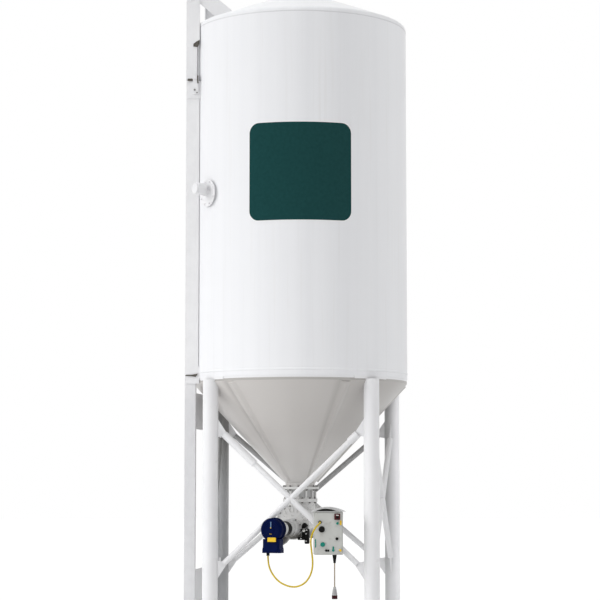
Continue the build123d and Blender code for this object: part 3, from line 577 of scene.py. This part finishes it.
def add_hoop(builder, matrix, section, sides):
    """Turn a closed section of (radius, height) points about a frame's z axis."""
    rings = [add_ring(builder, matrix, circle_outline(radius, sides), height) for radius, height in section]
    for lower, upper in zip(rings, rings[1:] + rings[:1]):
        join_rings(builder, lower, upper)


def band_section(inner, outer, low, high, edge):
    """Section of a flat hoop with softened outer edges."""
    return (
        (inner, low), (outer - edge, low), (outer, low + edge), (outer, high - edge), (outer - edge, high),
        (inner, high),
    )


def add_plate(builder, matrix, width, height, corner, thickness, edge=0.0015):
    """Rounded plate with a softened front edge."""
    full = rounded_outline(width, height, corner)
    front = rounded_outline(width - 2 * edge, height - 2 * edge, max(corner - edge, 0.0004))
    add_layers(builder, matrix, ((full, 0), (full, thickness - edge), (front, thickness)))


def add_plates(builder, matrix, rows):
    """Plates from rows of x, y, z, width, height, corner, thickness and softened edge."""
    for x, y, z, width, height, corner, thickness, edge in rows:
        add_plate(builder, moved(matrix, x, y, z), width, height, corner, thickness, edge)


def bolt_head(builder, matrix, size):
    """Washer, hexagon head and the bolt's rounded end."""
    add_turned(builder, matrix, ((size, 0), (size, size * 0.18), (size * 0.9, size * 0.24)), 20)
    add_turned(builder, matrix, ((size * 0.82, size * 0.24), (size * 0.82, size * 0.8), (size * 0.7, size * 0.9)), 6)
    add_turned(builder, matrix, ((size * 0.4, size * 0.9), (size * 0.4, size * 1.15), (size * 0.3, size * 1.22)), 12)


def add_bolts(builder, matrix, rows):
    """Bolt heads from rows of x, y, z and size."""
    for x, y, z, size in rows:
        bolt_head(builder, moved(matrix, x, y, z), size)


def bolt_circle(builder, matrix, radius, count, size, start=0.0):
    """Bolts on a circle in a frame's plane, the first one at a start angle in degrees."""
    for number in range(count):
        turn = math.radians(start) + 2 * math.pi * number / count
        place = Matrix.Translation((radius * math.cos(turn), radius * math.sin(turn), 0))
        bolt_head(builder, matrix @ place, size)


def ring_line(builder, centre_radius, height, width, proud, sides=160):
    """A low round-topped bead around the shell."""
    section = []
    for step in range(7):
        lean = math.pi * step / 6
        section.append((centre_radius + proud * math.sin(lean), height - width / 2 * math.cos(lean)))
    add_hoop(builder, Matrix.Identity(4), section, sides)


def curved_panel(name, material, radius, half_arc, low, high, corner):
    """A thin panel with rounded corners, bent round the shell."""
    rows = []
    steps = 10
    for step in range(steps + 1):
        rows.append(corner * (1 - math.cos(math.pi / 2 * step / steps)))
    heights = [low + row for row in rows] + [high - row for row in reversed(rows)]
    insets = [corner - math.sqrt(max(corner ** 2 - (corner - row) ** 2, 0)) for row in rows]
    insets = insets + list(reversed(insets))
    columns = 40
    builder = bmesh.new()
    layers = []
    for skin in (radius - SKIN, radius):
        grid = []
        for height, inset in zip(heights, insets):
            reach = half_arc - inset / radius
            line = []
            for column in range(columns + 1):
                angle = PANEL_ANGLE + reach * (2 * column / columns - 1)
                line.append(builder.verts.new((skin * math.cos(angle), skin * math.sin(angle), height)))
            grid.append(line)
        layers.append(grid)
    for grid in layers:
        for lower, upper in zip(grid, grid[1:]):
            for column in range(columns):
                builder.faces.new((lower[column], lower[column + 1], upper[column + 1], upper[column]))
    inner, outer = layers
    for first, second in zip(edge_loop(inner), edge_loop(outer)):
        builder.faces.new((first[0], first[1], second[1], second[0]))
    piece(name, builder, material)


def edge_loop(grid):
    """Pairs of neighbouring vertices round the outside of a grid."""
    border = grid[0][:]
    border += [line[-1] for line in grid[1:]]
    border += list(reversed(grid[-1][:-1]))
    border += [line[0] for line in reversed(grid[1:-1])]
    return list(zip(border, border[1:] + border[:1]))


def make_shell_details(mats):
    """Weld at the roof's edge and the bare panel with its white edge."""
    builder = bmesh.new()
    ring_line(builder, SHELL_RADIUS - 0.0005, SHELL_TOP + 0.004, 0.012, 0.0025)
    piece("top_weld", builder, mats["weld"])
    curved_panel(
        "bare_panel_edge", mats["edge_white"], SHELL_RADIUS + SKIN,
        half_arc=0.4805, low=5.128, high=6.206, corner=0.118,
    )
    curved_panel(
        "bare_panel", mats["panel"], SHELL_RADIUS + 2 * SKIN,
        half_arc=0.4735, low=5.137, high=6.197, corner=0.110,
    )


def make_cone_folds(mats):
    """Soft ridges where the cone's sheet is folded, from the skirt to the outlet."""
    slant = Vector((CONE_RADIUS - OUTLET_RADIUS, SKIRT_BOTTOM - CONE_BOTTOM)).normalized()
    first = OUTLET_RADIUS + 0.02
    last = CONE_RADIUS - 0.01
    sunk = -0.002
    rows = 30
    columns = 12
    builder = bmesh.new()
    for angle in FOLD_ANGLES:
        rings = []
        for row in range(rows + 1):
            share = row / rows
            radius = first + (last - first) * share
            height = CONE_BOTTOM + (radius - OUTLET_RADIUS) * slant.y / slant.x
            width = FOLD_WIDTH_LOW + FOLD_WIDTH_GAIN * share
            top = []
            bottom = []
            for column in range(columns + 1):
                side = column / columns - 0.5
                turn = math.radians(angle) + side * width / radius
                lift = FOLD_LIFT * (0.5 + 0.5 * math.cos(2 * math.pi * side))
                for level, line in ((lift, top), (sunk, bottom)):
                    reach = radius + slant.y * level
                    point = (reach * math.cos(turn), reach * math.sin(turn), height - slant.x * level)
                    line.append(builder.verts.new(point))
            rings.append(top + list(reversed(bottom)))
        skin_rings(builder, rings)
    piece("cone_folds", builder, mats["cone"])


# Flanges at the outlet, circles of their bolts, and the rods with their nuts
FLANGE_THICKNESS = 0.018
FLANGE_CIRCLE = 0.186
INLET_CIRCLE = 0.172
ROD_CIRCLE = 0.170
ROD_RADIUS = 0.010
ROD_NUT = ((0.013, 0), (0.013, 0.011), (0.011, 0.014))


def make_outlet_details(mats):
    """Bolts of the four flanges, rods between two of them and a grey sleeve behind the rods that is painted shade
    between them.
    """
    flange_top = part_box("outlet_flange")[1].z
    valve_low, valve_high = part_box("outlet_valve")
    valve_bottom = valve_low.z
    valve_height = valve_high.z - valve_bottom
    upright = Matrix.Identity(4)
    hanging = Matrix.Rotation(math.pi, 4, "X")
    builder = bmesh.new()
    for height, way, radius, size, start in (
        (flange_top, upright, FLANGE_CIRCLE, 0.014, 0),
        (valve_high.z - FLANGE_THICKNESS / 2, hanging, FLANGE_CIRCLE, 0.014, 0),
        (valve_bottom + FLANGE_THICKNESS, upright, INLET_CIRCLE, 0.013, 15),
        (valve_bottom - FLANGE_THICKNESS, hanging, INLET_CIRCLE, 0.013, 15),
    ):
        bolt_circle(builder, level_frame(0, 0, height) @ way, radius, 12, size, start)
    piece("flange_bolts", builder, mats["steel"])
    builder = bmesh.new()
    for number in range(12):
        turn = math.radians(30 * number)
        foot = level_frame(ROD_CIRCLE * math.cos(turn), ROD_CIRCLE * math.sin(turn), valve_bottom + FLANGE_THICKNESS)
        add_turned(builder, foot, ((ROD_RADIUS, 0), (ROD_RADIUS, valve_height - 0.045)), 12)
        add_turned(builder, foot, ROD_NUT, 6)
    piece("flange_rods", builder, mats["outlet"])
    # Painted shade: a grey sleeve behind the rods stands in for the shade between them
    builder = bmesh.new()
    sleeve = band_section(0.149, 0.1525, 0.034, valve_height - 0.012, 0.001)
    add_hoop(builder, level_frame(0, 0, valve_bottom), sleeve, 96)
    piece("rod_gap_shade_sleeve", builder, mats["sleeve"])


def make_other_bolts(mats):
    """Bolts of the mixer's cover, the gear, the sensor's flange and the feet."""
    builder = bmesh.new()
    bolt_circle(builder, mixer_frame(DRUM_FACE, DRUM_HEIGHT), 0.178, 16, 0.0105, 11.25)
    bolt_circle(builder, mixer_frame(GEAR_FACE, SCREW_HEIGHT), 0.097, 8, 0.008, 22.5)
    piece("mixer_bolts", builder, mats["steel"])
    builder = bmesh.new()
    bolt_circle(builder, outward_frame(SENSOR_ANGLE, SENSOR_FACE, SENSOR_HEIGHT), 0.13, 8, 0.012, 22.5)
    piece("sensor_bolts", builder, mats["frame"])
    builder = bmesh.new()
    for x, y in LEG_CENTRES:
        for x_side in (-ANCHOR_SPACING, ANCHOR_SPACING):
            for y_side in (-ANCHOR_SPACING, ANCHOR_SPACING):
                bolt_head(builder, level_frame(x + x_side, y + y_side, FOOT_PLATE_TOP), 0.024)
    piece("anchor_bolts", builder, mats["zinc"])


# Outlines in x and z on the rails' faces
HEAD_OUTLINE = ((-1.205, 6.81), (-1.085, 6.81), (-1.085, 7.175), (-1.055, 7.255), (-1.055, 8.05), (-1.205, 8.05))
# Painted shade: dark pads under the rail head's flare and under the low bracket
HIGH_SHADE_PAD = ((-1.124, 7.185), (-1.076, 7.178), (-1.058, 7.212), (-1.056, 7.256), (-1.085, 7.243), (-1.124, 7.214))
LOW_SHADE_PAD = ((-1.195, 3.504), (-1.132, 3.502), (-1.081, 3.493), (-1.056, 3.529), (-1.121, 3.518), (-1.195, 3.515))
CATCH_THICKNESS = 0.016


def make_rail_details(mats):
    """Boxed tops of the rails, with the catch, its pads, its bolts and a strip on the near one; the brown pads are
    painted shade under the heads, beside the catch and under the low bracket.
    """
    builder = bmesh.new()
    for y, side in ((-RAIL_FACE, -1), (RAIL_FACE, 1)):
        points = [(-side * x, z) for x, z in HEAD_OUTLINE]
        add_layers(builder, rail_frame(y, side), ((points, 0), (points, PLATE_FACE - RAIL_FACE)))
    heads = piece("head_plates", builder, mats["frame"])
    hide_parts("rail_heads")
    builder = bmesh.new()
    add_plate(builder, moved(rail_frame(-0.575), -1.0705, 5.070), 0.031, 3.210, 0.002, 0.015, 0.001)
    piece("rail_strip", builder, mats["frame"])
    face = rail_frame(-PLATE_FACE)
    catch = moved(face, -1.094, 6.750)
    catch_face = moved(catch, 0, 0, CATCH_THICKNESS)
    builder = bmesh.new()
    add_plate(builder, catch, 0.064, 0.212, 0.006, CATCH_THICKNESS, 0.003)
    add_plate(builder, moved(catch_face, -0.004, 0.078), 0.040, 0.030, 0.006, 0.014, 0.003)
    piece("rail_catch", builder, mats["frame"])
    builder = bmesh.new()
    add_bolts(builder, catch_face, ((-0.012, -0.058, 0, 0.011), (0.014, -0.090, 0, 0.008)))
    piece("catch_bolts", builder, mats["steel"])
    # Painted shade: brown pads under the heads, beside the catch and under the low bracket
    builder = bmesh.new()
    add_layers(builder, face, ((HIGH_SHADE_PAD, 0), (HIGH_SHADE_PAD, 0.009)))
    add_plate(builder, moved(face, -1.160, 6.809), 0.058, 0.026, 0.008, 0.008, 0.003)
    add_plate(builder, moved(catch_face, 0.024, 0.058), 0.014, 0.090, 0.005, 0.010, 0.003)
    add_layers(builder, face, ((LOW_SHADE_PAD, 0), (LOW_SHADE_PAD, 0.008)))
    piece("rail_shade_pads", builder, mats["brown"])


# Ribs round the motor: distance along the mixer's axis, width and outer radius
MOTOR_RIBS = (
    (0.896, 0.012, 0.1265), (0.926, 0.006, 0.1245), (0.944, 0.006, 0.1245), (0.962, 0.006, 0.1245),
    (0.996, 0.012, 0.1235),
)
MOTOR_RIB_INNER = 0.1190
MOTOR_SCREW = 0.0045
MOTOR_SCREW_CIRCLE = 0.066
LID_THICKNESS = 0.010
LID_SCREWS = tuple((x, y, LID_THICKNESS, MOTOR_SCREW) for y in (0.034, -0.034) for x in (-0.058, 0.058))
BARE_PLATE_THICKNESS = 0.013


def make_motor_details(mats):
    """Ribs, end cover, lid, screws, bare plate and strap of the motor."""
    front = mixer_frame(MOTOR_FACE, SCREW_HEIGHT)
    lid = mixer_frame(TERMINAL_FACE, TERMINAL_HEIGHT)
    builder = bmesh.new()
    for distance, width, outer in MOTOR_RIBS:
        section = band_section(MOTOR_RIB_INNER, outer, 0, width, 0.0018)
        add_hoop(builder, mixer_frame(distance, SCREW_HEIGHT), section, 64)
    add_hoop(builder, front, band_section(0.080, 0.0845, -0.0015, 0.0025, 0.001), 64)
    add_turned(builder, front, ((0.046, -0.001), (0.046, 0.002), (0.042, 0.004), (0.020, 0.005)), 40)
    add_plate(builder, lid, 0.154, 0.098, 0.030, LID_THICKNESS, 0.004)
    piece("motor_ribs", builder, mats["motor"])
    builder = bmesh.new()
    add_bolts(builder, lid, LID_SCREWS)
    bolt_circle(builder, front, MOTOR_SCREW_CIRCLE, 4, MOTOR_SCREW, 45)
    piece("motor_screws", builder, mats["motor"])
    builder = bmesh.new()
    plate = moved(front, 0.012, -0.106, -0.009)
    add_plate(builder, plate, 0.094, 0.046, 0.006, BARE_PLATE_THICKNESS, 0.0015)
    piece("motor_plate", builder, mats["yellow"])
    builder = bmesh.new()
    for x in (-0.038, 0.038):
        rivet = moved(plate, x, 0, BARE_PLATE_THICKNESS)
        add_turned(builder, rivet, ((0.004, 0), (0.004, 0.001), (0.002, 0.002)), 12)
    add_turned(builder, moved(front, 0.004, 0.018, 0.004), ((0.006, 0), (0.006, 0.005), (0.004, 0.009)), 6)
    add_plate(builder, moved(front, 0.001, -0.046, 0.001), 0.030, 0.003, 0.001, 0.004, 0.001)
    piece("motor_brass", builder, mats["yellow"])
    builder = bmesh.new()
    add_plate(builder, moved(front, 0.004, 0.052, 0.001), 0.011, 0.066, 0.005, 0.007, 0.002)
    piece("motor_strap", builder, mats["blue_grey"])


# Collars on the gear's neck: distance along the mixer's axis, width and outer radius
GEAR_COLLARS = ((0.862, 0.026, 0.098), (0.690, 0.110, 0.0795), (0.555, 0.024, 0.090), (0.470, 0.018, 0.0985))
DARK_COLLAR = (0.582, 0.104, 0.0805)
GEAR_FOOT = (
    (-0.030, -0.060), (0.050, -0.060), (0.112, -0.086), (0.118, -0.108), (0.086, -0.146), (0.036, -0.178),
    (-0.020, -0.180), (-0.040, -0.150),
)
# Plates of the clamp, in the rows that add_plates takes
CLAMP_PLATES = (
    (0.168, -0.088, 0, 0.048, 0.164, 0.012, 0.036, 0.006),
    (0.128, -0.070, 0, 0.034, 0.070, 0.010, 0.028, 0.005),
    (0.108, -0.020, 0, 0.030, 0.024, 0.006, 0.030, 0.004),
    (0.120, 0.010, 0, 0.022, 0.020, 0.006, 0.026, 0.004),
    (0.108, -0.112, 0, 0.080, 0.034, 0.010, 0.050, 0.006),
)
CLAMP_BOLTS = ((0.164, -0.060, 0.036, 0.009), (0.164, -0.140, 0.036, 0.009), (0.108, -0.112, 0.050, 0.009))
VALVE_WHEEL = ((0.013, 0), (0.013, 0.034), (0.027, 0.038), (0.030, 0.050), (0.027, 0.062), (0.010, 0.066))
HOSE_FITTING = ((0.016, 0), (0.016, 0.030), (0.010, 0.034), (0.010, 0.056), (0.014, 0.058), (0.014, 0.070))


def add_collar(builder, distance, width, outer):
    """A band round the gear's neck."""
    section = band_section(GEAR_RADIUS, outer, 0, width, 0.003)
    add_hoop(builder, mixer_frame(distance, SCREW_HEIGHT), section, 56)


def make_drive_details(mats):
    """Collars and foot of the gear, and the water valve and clamp on the drum's end plate."""
    end_plate = mixer_frame(DRUM_FACE, SCREW_HEIGHT)
    builder = bmesh.new()
    for collar in GEAR_COLLARS:
        add_collar(builder, *collar)
    piece("gear_collars", builder, mats["gear"])
    builder = bmesh.new()
    chamfered = [(0.9 * x + 0.003, 0.94 * y - 0.004) for x, y in GEAR_FOOT]
    foot_layers = ((GEAR_FOOT, 0), (GEAR_FOOT, 0.052), (chamfered, 0.060))
    add_layers(builder, mixer_frame(0.770, SCREW_HEIGHT), foot_layers)
    piece("gear_foot", builder, mats["steel"])
    builder = bmesh.new()
    add_collar(builder, *DARK_COLLAR)
    add_turned(builder, moved(end_plate, 0.152, 0.030), VALVE_WHEEL, 24)
    add_plates(builder, end_plate, CLAMP_PLATES)
    piece("drum_clamp", builder, mats["black"])
    builder = bmesh.new()
    add_turned(builder, moved(end_plate, 0.146, -0.026), HOSE_FITTING, 16)
    add_turned(builder, moved(end_plate, 0.172, -0.020), ((0.007, 0), (0.007, 0.050), (0.005, 0.054)), 12)
    piece("drum_fitting", builder, mats["pale"])
    builder = bmesh.new()
    add_bolts(builder, end_plate, CLAMP_BOLTS)
    piece("clamp_bolts", builder, mats["zinc"])


def make_drum_cover(mats):
    """Rim and radial ribs on the drum's cover, round the drive."""
    cover = mixer_frame(DRUM_FACE, DRUM_HEIGHT)
    rib_count = 18
    builder = bmesh.new()
    add_hoop(builder, cover, band_section(0.1835, 0.1945, -0.004, 0.012, 0.002), 96)
    for number in range(rib_count):
        turn = Matrix.Rotation(2 * math.pi * (number + 0.5) / rib_count, 4, "Z")
        add_plate(builder, moved(cover @ turn, 0.134, 0), 0.046, 0.009, 0.002, 0.010, 0.002)
    piece("drum_cover", builder, mats["outlet"])


# Places on the control box's door: x and y from its middle
KNOB_PLACE = (-0.072, 0.041)
PUSH_PLACE = (-0.063, -0.118)
SWITCH_PLACE = (0.092, 0.174)
# Black buttons: x, y and radius
BLACK_BUTTONS = ((0.088, -0.058, 0.013), (-0.026, -0.181, 0.010), (-0.004, -0.183, 0.009))
DOOR_SCREWS = tuple((x, y, 0, 0.005) for y in (0.206, -0.206) for x in (-0.132, 0.132))
# Profiles of radius and height above the door
KNOB_BASE = ((0.0335, 0), (0.0335, 0.004), (0.031, 0.006))
PUSH_BASE = ((0.0235, 0), (0.0235, 0.005), (0.021, 0.007))
PUSH_HEAD = ((0.011, 0.006), (0.011, 0.011), (0.021, 0.012), (0.0245, 0.016), (0.0215, 0.021), (0.012, 0.024))
SMALL_LAMP = ((0.0135, 0), (0.0135, 0.012), (0.011, 0.019), (0.006, 0.022))
FLAT_LAMP = ((0.013, 0), (0.013, 0.007), (0.010, 0.012), (0.004, 0.014))
SWITCH_THICKNESS = 0.020


def add_knob(builder, knob):
    """A fluted knob on a round base."""
    add_turned(builder, knob, KNOB_BASE, 40)
    flutes = fluted_outline(0.030, 0.0028, 12)
    tip = fluted_outline(0.0255, 0.0020, 12)
    add_layers(builder, knob, ((flutes, 0.006), (flutes, 0.024), (tip, 0.031), (circle_outline(0.02, 72), 0.032)))


def make_controls(mats):
    """Knob, buttons, lamps and switch in detail, in the places of their solids."""
    face = box_frame(BOX_FACE, BOX_CENTRE)
    switch = moved(face, *SWITCH_PLACE)
    switch_face = moved(switch, 0, 0, SWITCH_THICKNESS)
    builder = bmesh.new()
    add_knob(builder, moved(face, *KNOB_PLACE))
    for x, y, radius in BLACK_BUTTONS:
        collar = radius + 0.003
        profile = ((collar, 0), (collar, 0.005), (radius, 0.006), (radius, 0.018), (radius * 0.8, 0.022))
        add_turned(builder, moved(face, x, y), profile, 24)
    add_turned(builder, moved(face, *PUSH_PLACE), PUSH_BASE, 32)
    add_plate(builder, moved(switch_face, 0, -0.006), 0.030, 0.020, 0.004, 0.011, 0.003)
    knob_piece = piece("black_controls", builder, mats["black"])
    builder = bmesh.new()
    add_turned(builder, moved(face, *PUSH_PLACE), PUSH_HEAD, 32)
    add_turned(builder, moved(face, 0.094, 0.104), SMALL_LAMP, 24)
    add_turned(builder, moved(face, 0.049, -0.180), FLAT_LAMP, 24)
    add_plate(builder, moved(face, 0.049, -0.158), 0.016, 0.040, 0.007, 0.008, 0.002)
    add_plate(builder, moved(face, -0.139, -0.105), 0.010, 0.088, 0.003, 0.006, 0.001)
    green_piece = piece("green_controls", builder, mats["green"])
    builder = bmesh.new()
    add_turned(builder, moved(face, 0.124, -0.180), FLAT_LAMP, 24)
    add_plate(builder, moved(face, 0.128, 0.110), 0.018, 0.050, 0.005, 0.010, 0.002)
    yellow_piece = piece("yellow_controls", builder, mats["yellow"])
    builder = bmesh.new()
    add_plate(builder, switch, 0.062, 0.066, 0.005, SWITCH_THICKNESS, 0.003)
    red_piece = piece("red_switch", builder, mats["dark_red"])
    builder = bmesh.new()
    add_plate(builder, moved(switch_face, 0, 0.016), 0.030, 0.008, 0.002, 0.003, 0.001)
    add_bolts(builder, face, DOOR_SCREWS)
    piece("door_screws", builder, mats["pale"])
    for control in (knob_piece, green_piece, yellow_piece, red_piece):
        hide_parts("box_controls")


def arch_line(half, level, rise, steps=24):
    """Points on a flat arch from its right end to its left."""
    radius = (half ** 2 + rise ** 2) / (2 * rise)
    spread = math.asin(half / radius)
    points = []
    for step in range(steps + 1):
        lean = spread * (1 - 2 * step / steps)
        points.append((radius * math.sin(lean), level + rise - radius + radius * math.cos(lean)))
    return points


def make_hood_details(mats):
    """Black arch of painted shade under the hood's arch, and the lip along its front."""
    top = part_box("control_box")[1].z
    # Painted shade: a black arch under the hood's arch
    builder = bmesh.new()
    shade_arch = arch_line(0.112, top + 0.006, 0.024)
    add_layers(builder, moved(box_frame(BOX_FACE, 0), -0.026, 0), ((shade_arch, -0.0005), (shade_arch, 0.0025)))
    piece("hood_shade", builder, mats["black"])
    builder = bmesh.new()
    outer = arch_line(0.180, top + 0.0035, 0.0475)
    inner = arch_line(0.177, top + 0.0010, 0.0450)
    lip = outer + list(reversed(inner))
    add_layers(builder, box_frame(BOX_FACE + 0.018, 0), ((lip, 0), (lip, 0.0095)))
    piece("hood_lip", builder, mats["zinc"])


PLUG_END = ((0.0292, 0), (0.0298, 0.004), (0.0298, 0.036), (0.0285, 0.041))
# Lowest rib of the plug's grip, and how the next ones differ from it
RIB_HEIGHT = 0.052
RIB_RADIUS = 0.0262
RIB_RISE = 0.012
RIB_SHRINK = 0.0019


def make_plug_details(mats):
    """Grip ribs and the dark red end of the plug."""
    low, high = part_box("supply_plug")
    x = (low.x + high.x) / 2
    y = (low.y + high.y) / 2
    builder = bmesh.new()
    add_turned(builder, level_frame(x, y, low.z - 0.0005), PLUG_END, 36)
    piece("plug_shroud", builder, mats["shroud"])
    builder = bmesh.new()
    for number in range(5):
        height = low.z + RIB_HEIGHT + RIB_RISE * number
        radius = RIB_RADIUS - RIB_SHRINK * number
        section = band_section(radius - 0.004, radius + 0.0022, 0, 0.005, 0.001)
        add_hoop(builder, level_frame(x, y, height), section, 32)
    piece("plug_ribs", builder, mats["plug"])


# The motor cable's points, the same as the route of its solid
CABLE_POINTS = (
    (-0.2244, -0.9389, 1.5620),
    (-0.2244, -0.9389, 1.4760),
    (-0.1770, -0.9540, 1.3650),
    (-0.0850, -0.9820, 1.2730),
    (0.0570, -1.0140, 1.2280),
    (0.1830, -1.0580, 1.2690),
    (0.2610, -1.1080, 1.3730),
    (0.2860, -1.1450, 1.4920),
    (0.2760, -1.1840, 1.6150),
    (0.2690, -1.2470, 1.7450),
    (0.3130, -1.2720, 1.8550),
    (0.3712, -1.1904, 1.9220),
    (0.3538, -1.0919, 1.9220),
)
LEAD_DIAMETER = 0.013
CABLE_DIAMETER = 0.018


def cord_curve(name, points, diameter, material):
    curve = bpy.data.curves.new(name, "CURVE")
    curve.dimensions = "3D"
    curve.bevel_depth = diameter / 2
    curve.bevel_resolution = 6
    curve.resolution_u = 12
    curve.use_fill_caps = True
    spline = curve.splines.new("NURBS")
    spline.points.add(len(points) - 1)
    for target, point in zip(spline.points, points):
        target.co = (*point, 1)
    spline.order_u = 3
    spline.use_endpoint_u = True
    curve.materials.append(material)
    cord = bpy.data.objects.new(name, curve)
    bpy.context.scene.collection.objects.link(cord)
    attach(cord, "root")
    return cord


def make_cords(mats):
    cable = cord_curve("yellow_motor_cable", CABLE_POINTS, CABLE_DIAMETER, mats["cable"])
    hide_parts("motor_cable")
    lead_low, lead_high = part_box("supply_lead")
    lead_x = (lead_low.x + lead_high.x) / 2
    lead_y = (lead_low.y + lead_high.y) / 2
    steps = 5
    lead_points = [
        (lead_x, lead_y, lead_high.z + (lead_low.z - lead_high.z) * step / steps) for step in range(steps + 1)
    ]
    lead = cord_curve("hanging_lead", lead_points, LEAD_DIAMETER, mats["lead"])
    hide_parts("supply_lead")


def make_light(name, kind, location, target, energy, size, shine=True):
    """A lamp aimed at a target: size is a sun's angle or an area lamp's side."""
    light_data = bpy.data.lights.new(name, kind)
    light = bpy.data.objects.new(name, light_data)
    light_data.energy = energy
    if kind == "AREA":
        light_data.size = size
    else:
        light_data.angle = size
    light.location = location
    light.visible_camera = False
    light.visible_glossy = shine
    light.rotation_euler = (Vector(target) - Vector(location)).to_track_quat("-Z", "Y").to_euler()
    bpy.context.scene.collection.objects.link(light)


def background_rays(tree):
    """1 for camera, glossy and transmitted rays, so that they all see the white background."""
    path = tree.nodes.new("ShaderNodeLightPath")
    total = path.outputs["Is Camera Ray"]
    for output in ("Is Glossy Ray", "Is Transmission Ray"):
        largest = tree.nodes.new("ShaderNodeMath")
        largest.operation = "MAXIMUM"
        tree.links.new(total, largest.inputs[0])
        tree.links.new(path.outputs[output], largest.inputs[1])
        total = largest.outputs["Value"]
    return total


# Light from around, background that is seen, then the floor's size and glow
SKY_LEVEL = 0.50
BACKGROUND_LEVEL = 1.0
FLOOR_RADIUS = 90
FLOOR_DROP = 0.001
FLOOR_GLOW = 1.15
FLOOR_GLOW_SHARE = 0.6


def make_world():
    """White background and softer white light from all sides."""
    world = bpy.data.worlds.new("studio")
    bpy.context.scene.world = world
    world.use_nodes = True
    tree = world.node_tree
    background = tree.nodes["Background"]
    background.inputs["Color"].default_value = (1, 1, 1, 1)
    level = tree.nodes.new("ShaderNodeMapRange")
    level.inputs["To Min"].default_value = SKY_LEVEL
    level.inputs["To Max"].default_value = BACKGROUND_LEVEL
    tree.links.new(background_rays(tree), level.inputs["Value"])
    tree.links.new(level.outputs["Result"], background.inputs["Strength"])


def make_floor():
    """Pale round floor that shows white where no shadow falls."""
    builder = bmesh.new()
    bmesh.ops.create_circle(builder, cap_ends=True, radius=FLOOR_RADIUS, segments=96)
    mesh = bpy.data.meshes.new("floor")
    builder.to_mesh(mesh)
    builder.free()
    floor = bpy.data.objects.new("floor", mesh)
    floor.location.z = -FLOOR_DROP
    bpy.context.scene.collection.objects.link(floor)
    surface = Material("floor_white")
    tone = surface.vary(surface.noise(0.4, 3))
    surface.colour(surface.mix(tone, (0.86, 0.86, 0.86), (0.84, 0.84, 0.84)))
    surface.shader.inputs["Roughness"].default_value = 0.9
    tree = surface.material.node_tree
    glow = tree.nodes.new("ShaderNodeEmission")
    glow.inputs["Strength"].default_value = FLOOR_GLOW
    blend = tree.nodes.new("ShaderNodeMixShader")
    share = surface.math("MULTIPLY", background_rays(tree), FLOOR_GLOW_SHARE)
    tree.links.new(share, blend.inputs["Fac"])
    tree.links.new(surface.shader.outputs["BSDF"], blend.inputs[1])
    tree.links.new(glow.outputs["Emission"], blend.inputs[2])
    tree.links.new(blend.outputs["Shader"], tree.nodes["Material Output"].inputs["Surface"])
    mesh.materials.append(surface.material)


def make_studio():
    bpy.context.scene.view_settings.view_transform = "Standard"
    make_world()
    make_floor()
    shell_middle = (0, 0, 4)
    make_light("key", "SUN", (-18, -7, 12), shell_middle, 1.41, 0.6, shine=False)
    make_light("top", "SUN", (2, -4, 20), shell_middle, 1.12, 1.0)
    make_light("rim", "SUN", (14, 6, 4), shell_middle, 0.34, 0.8)
    make_light("low_fill", "AREA", (-3.6, -6.2, 0.3), (0, 0, 2.4), 88, 4)


def main():
    make_camera()
    mats = make_materials()
    make_cords(mats)
    dress_nodes(mats)
    make_shell_details(mats)
    make_cone_folds(mats)
    make_outlet_details(mats)
    make_other_bolts(mats)
    make_rail_details(mats)
    make_motor_details(mats)
    make_drive_details(mats)
    make_drum_cover(mats)
    make_controls(mats)
    make_hood_details(mats)
    make_plug_details(mats)
    make_studio()


main()
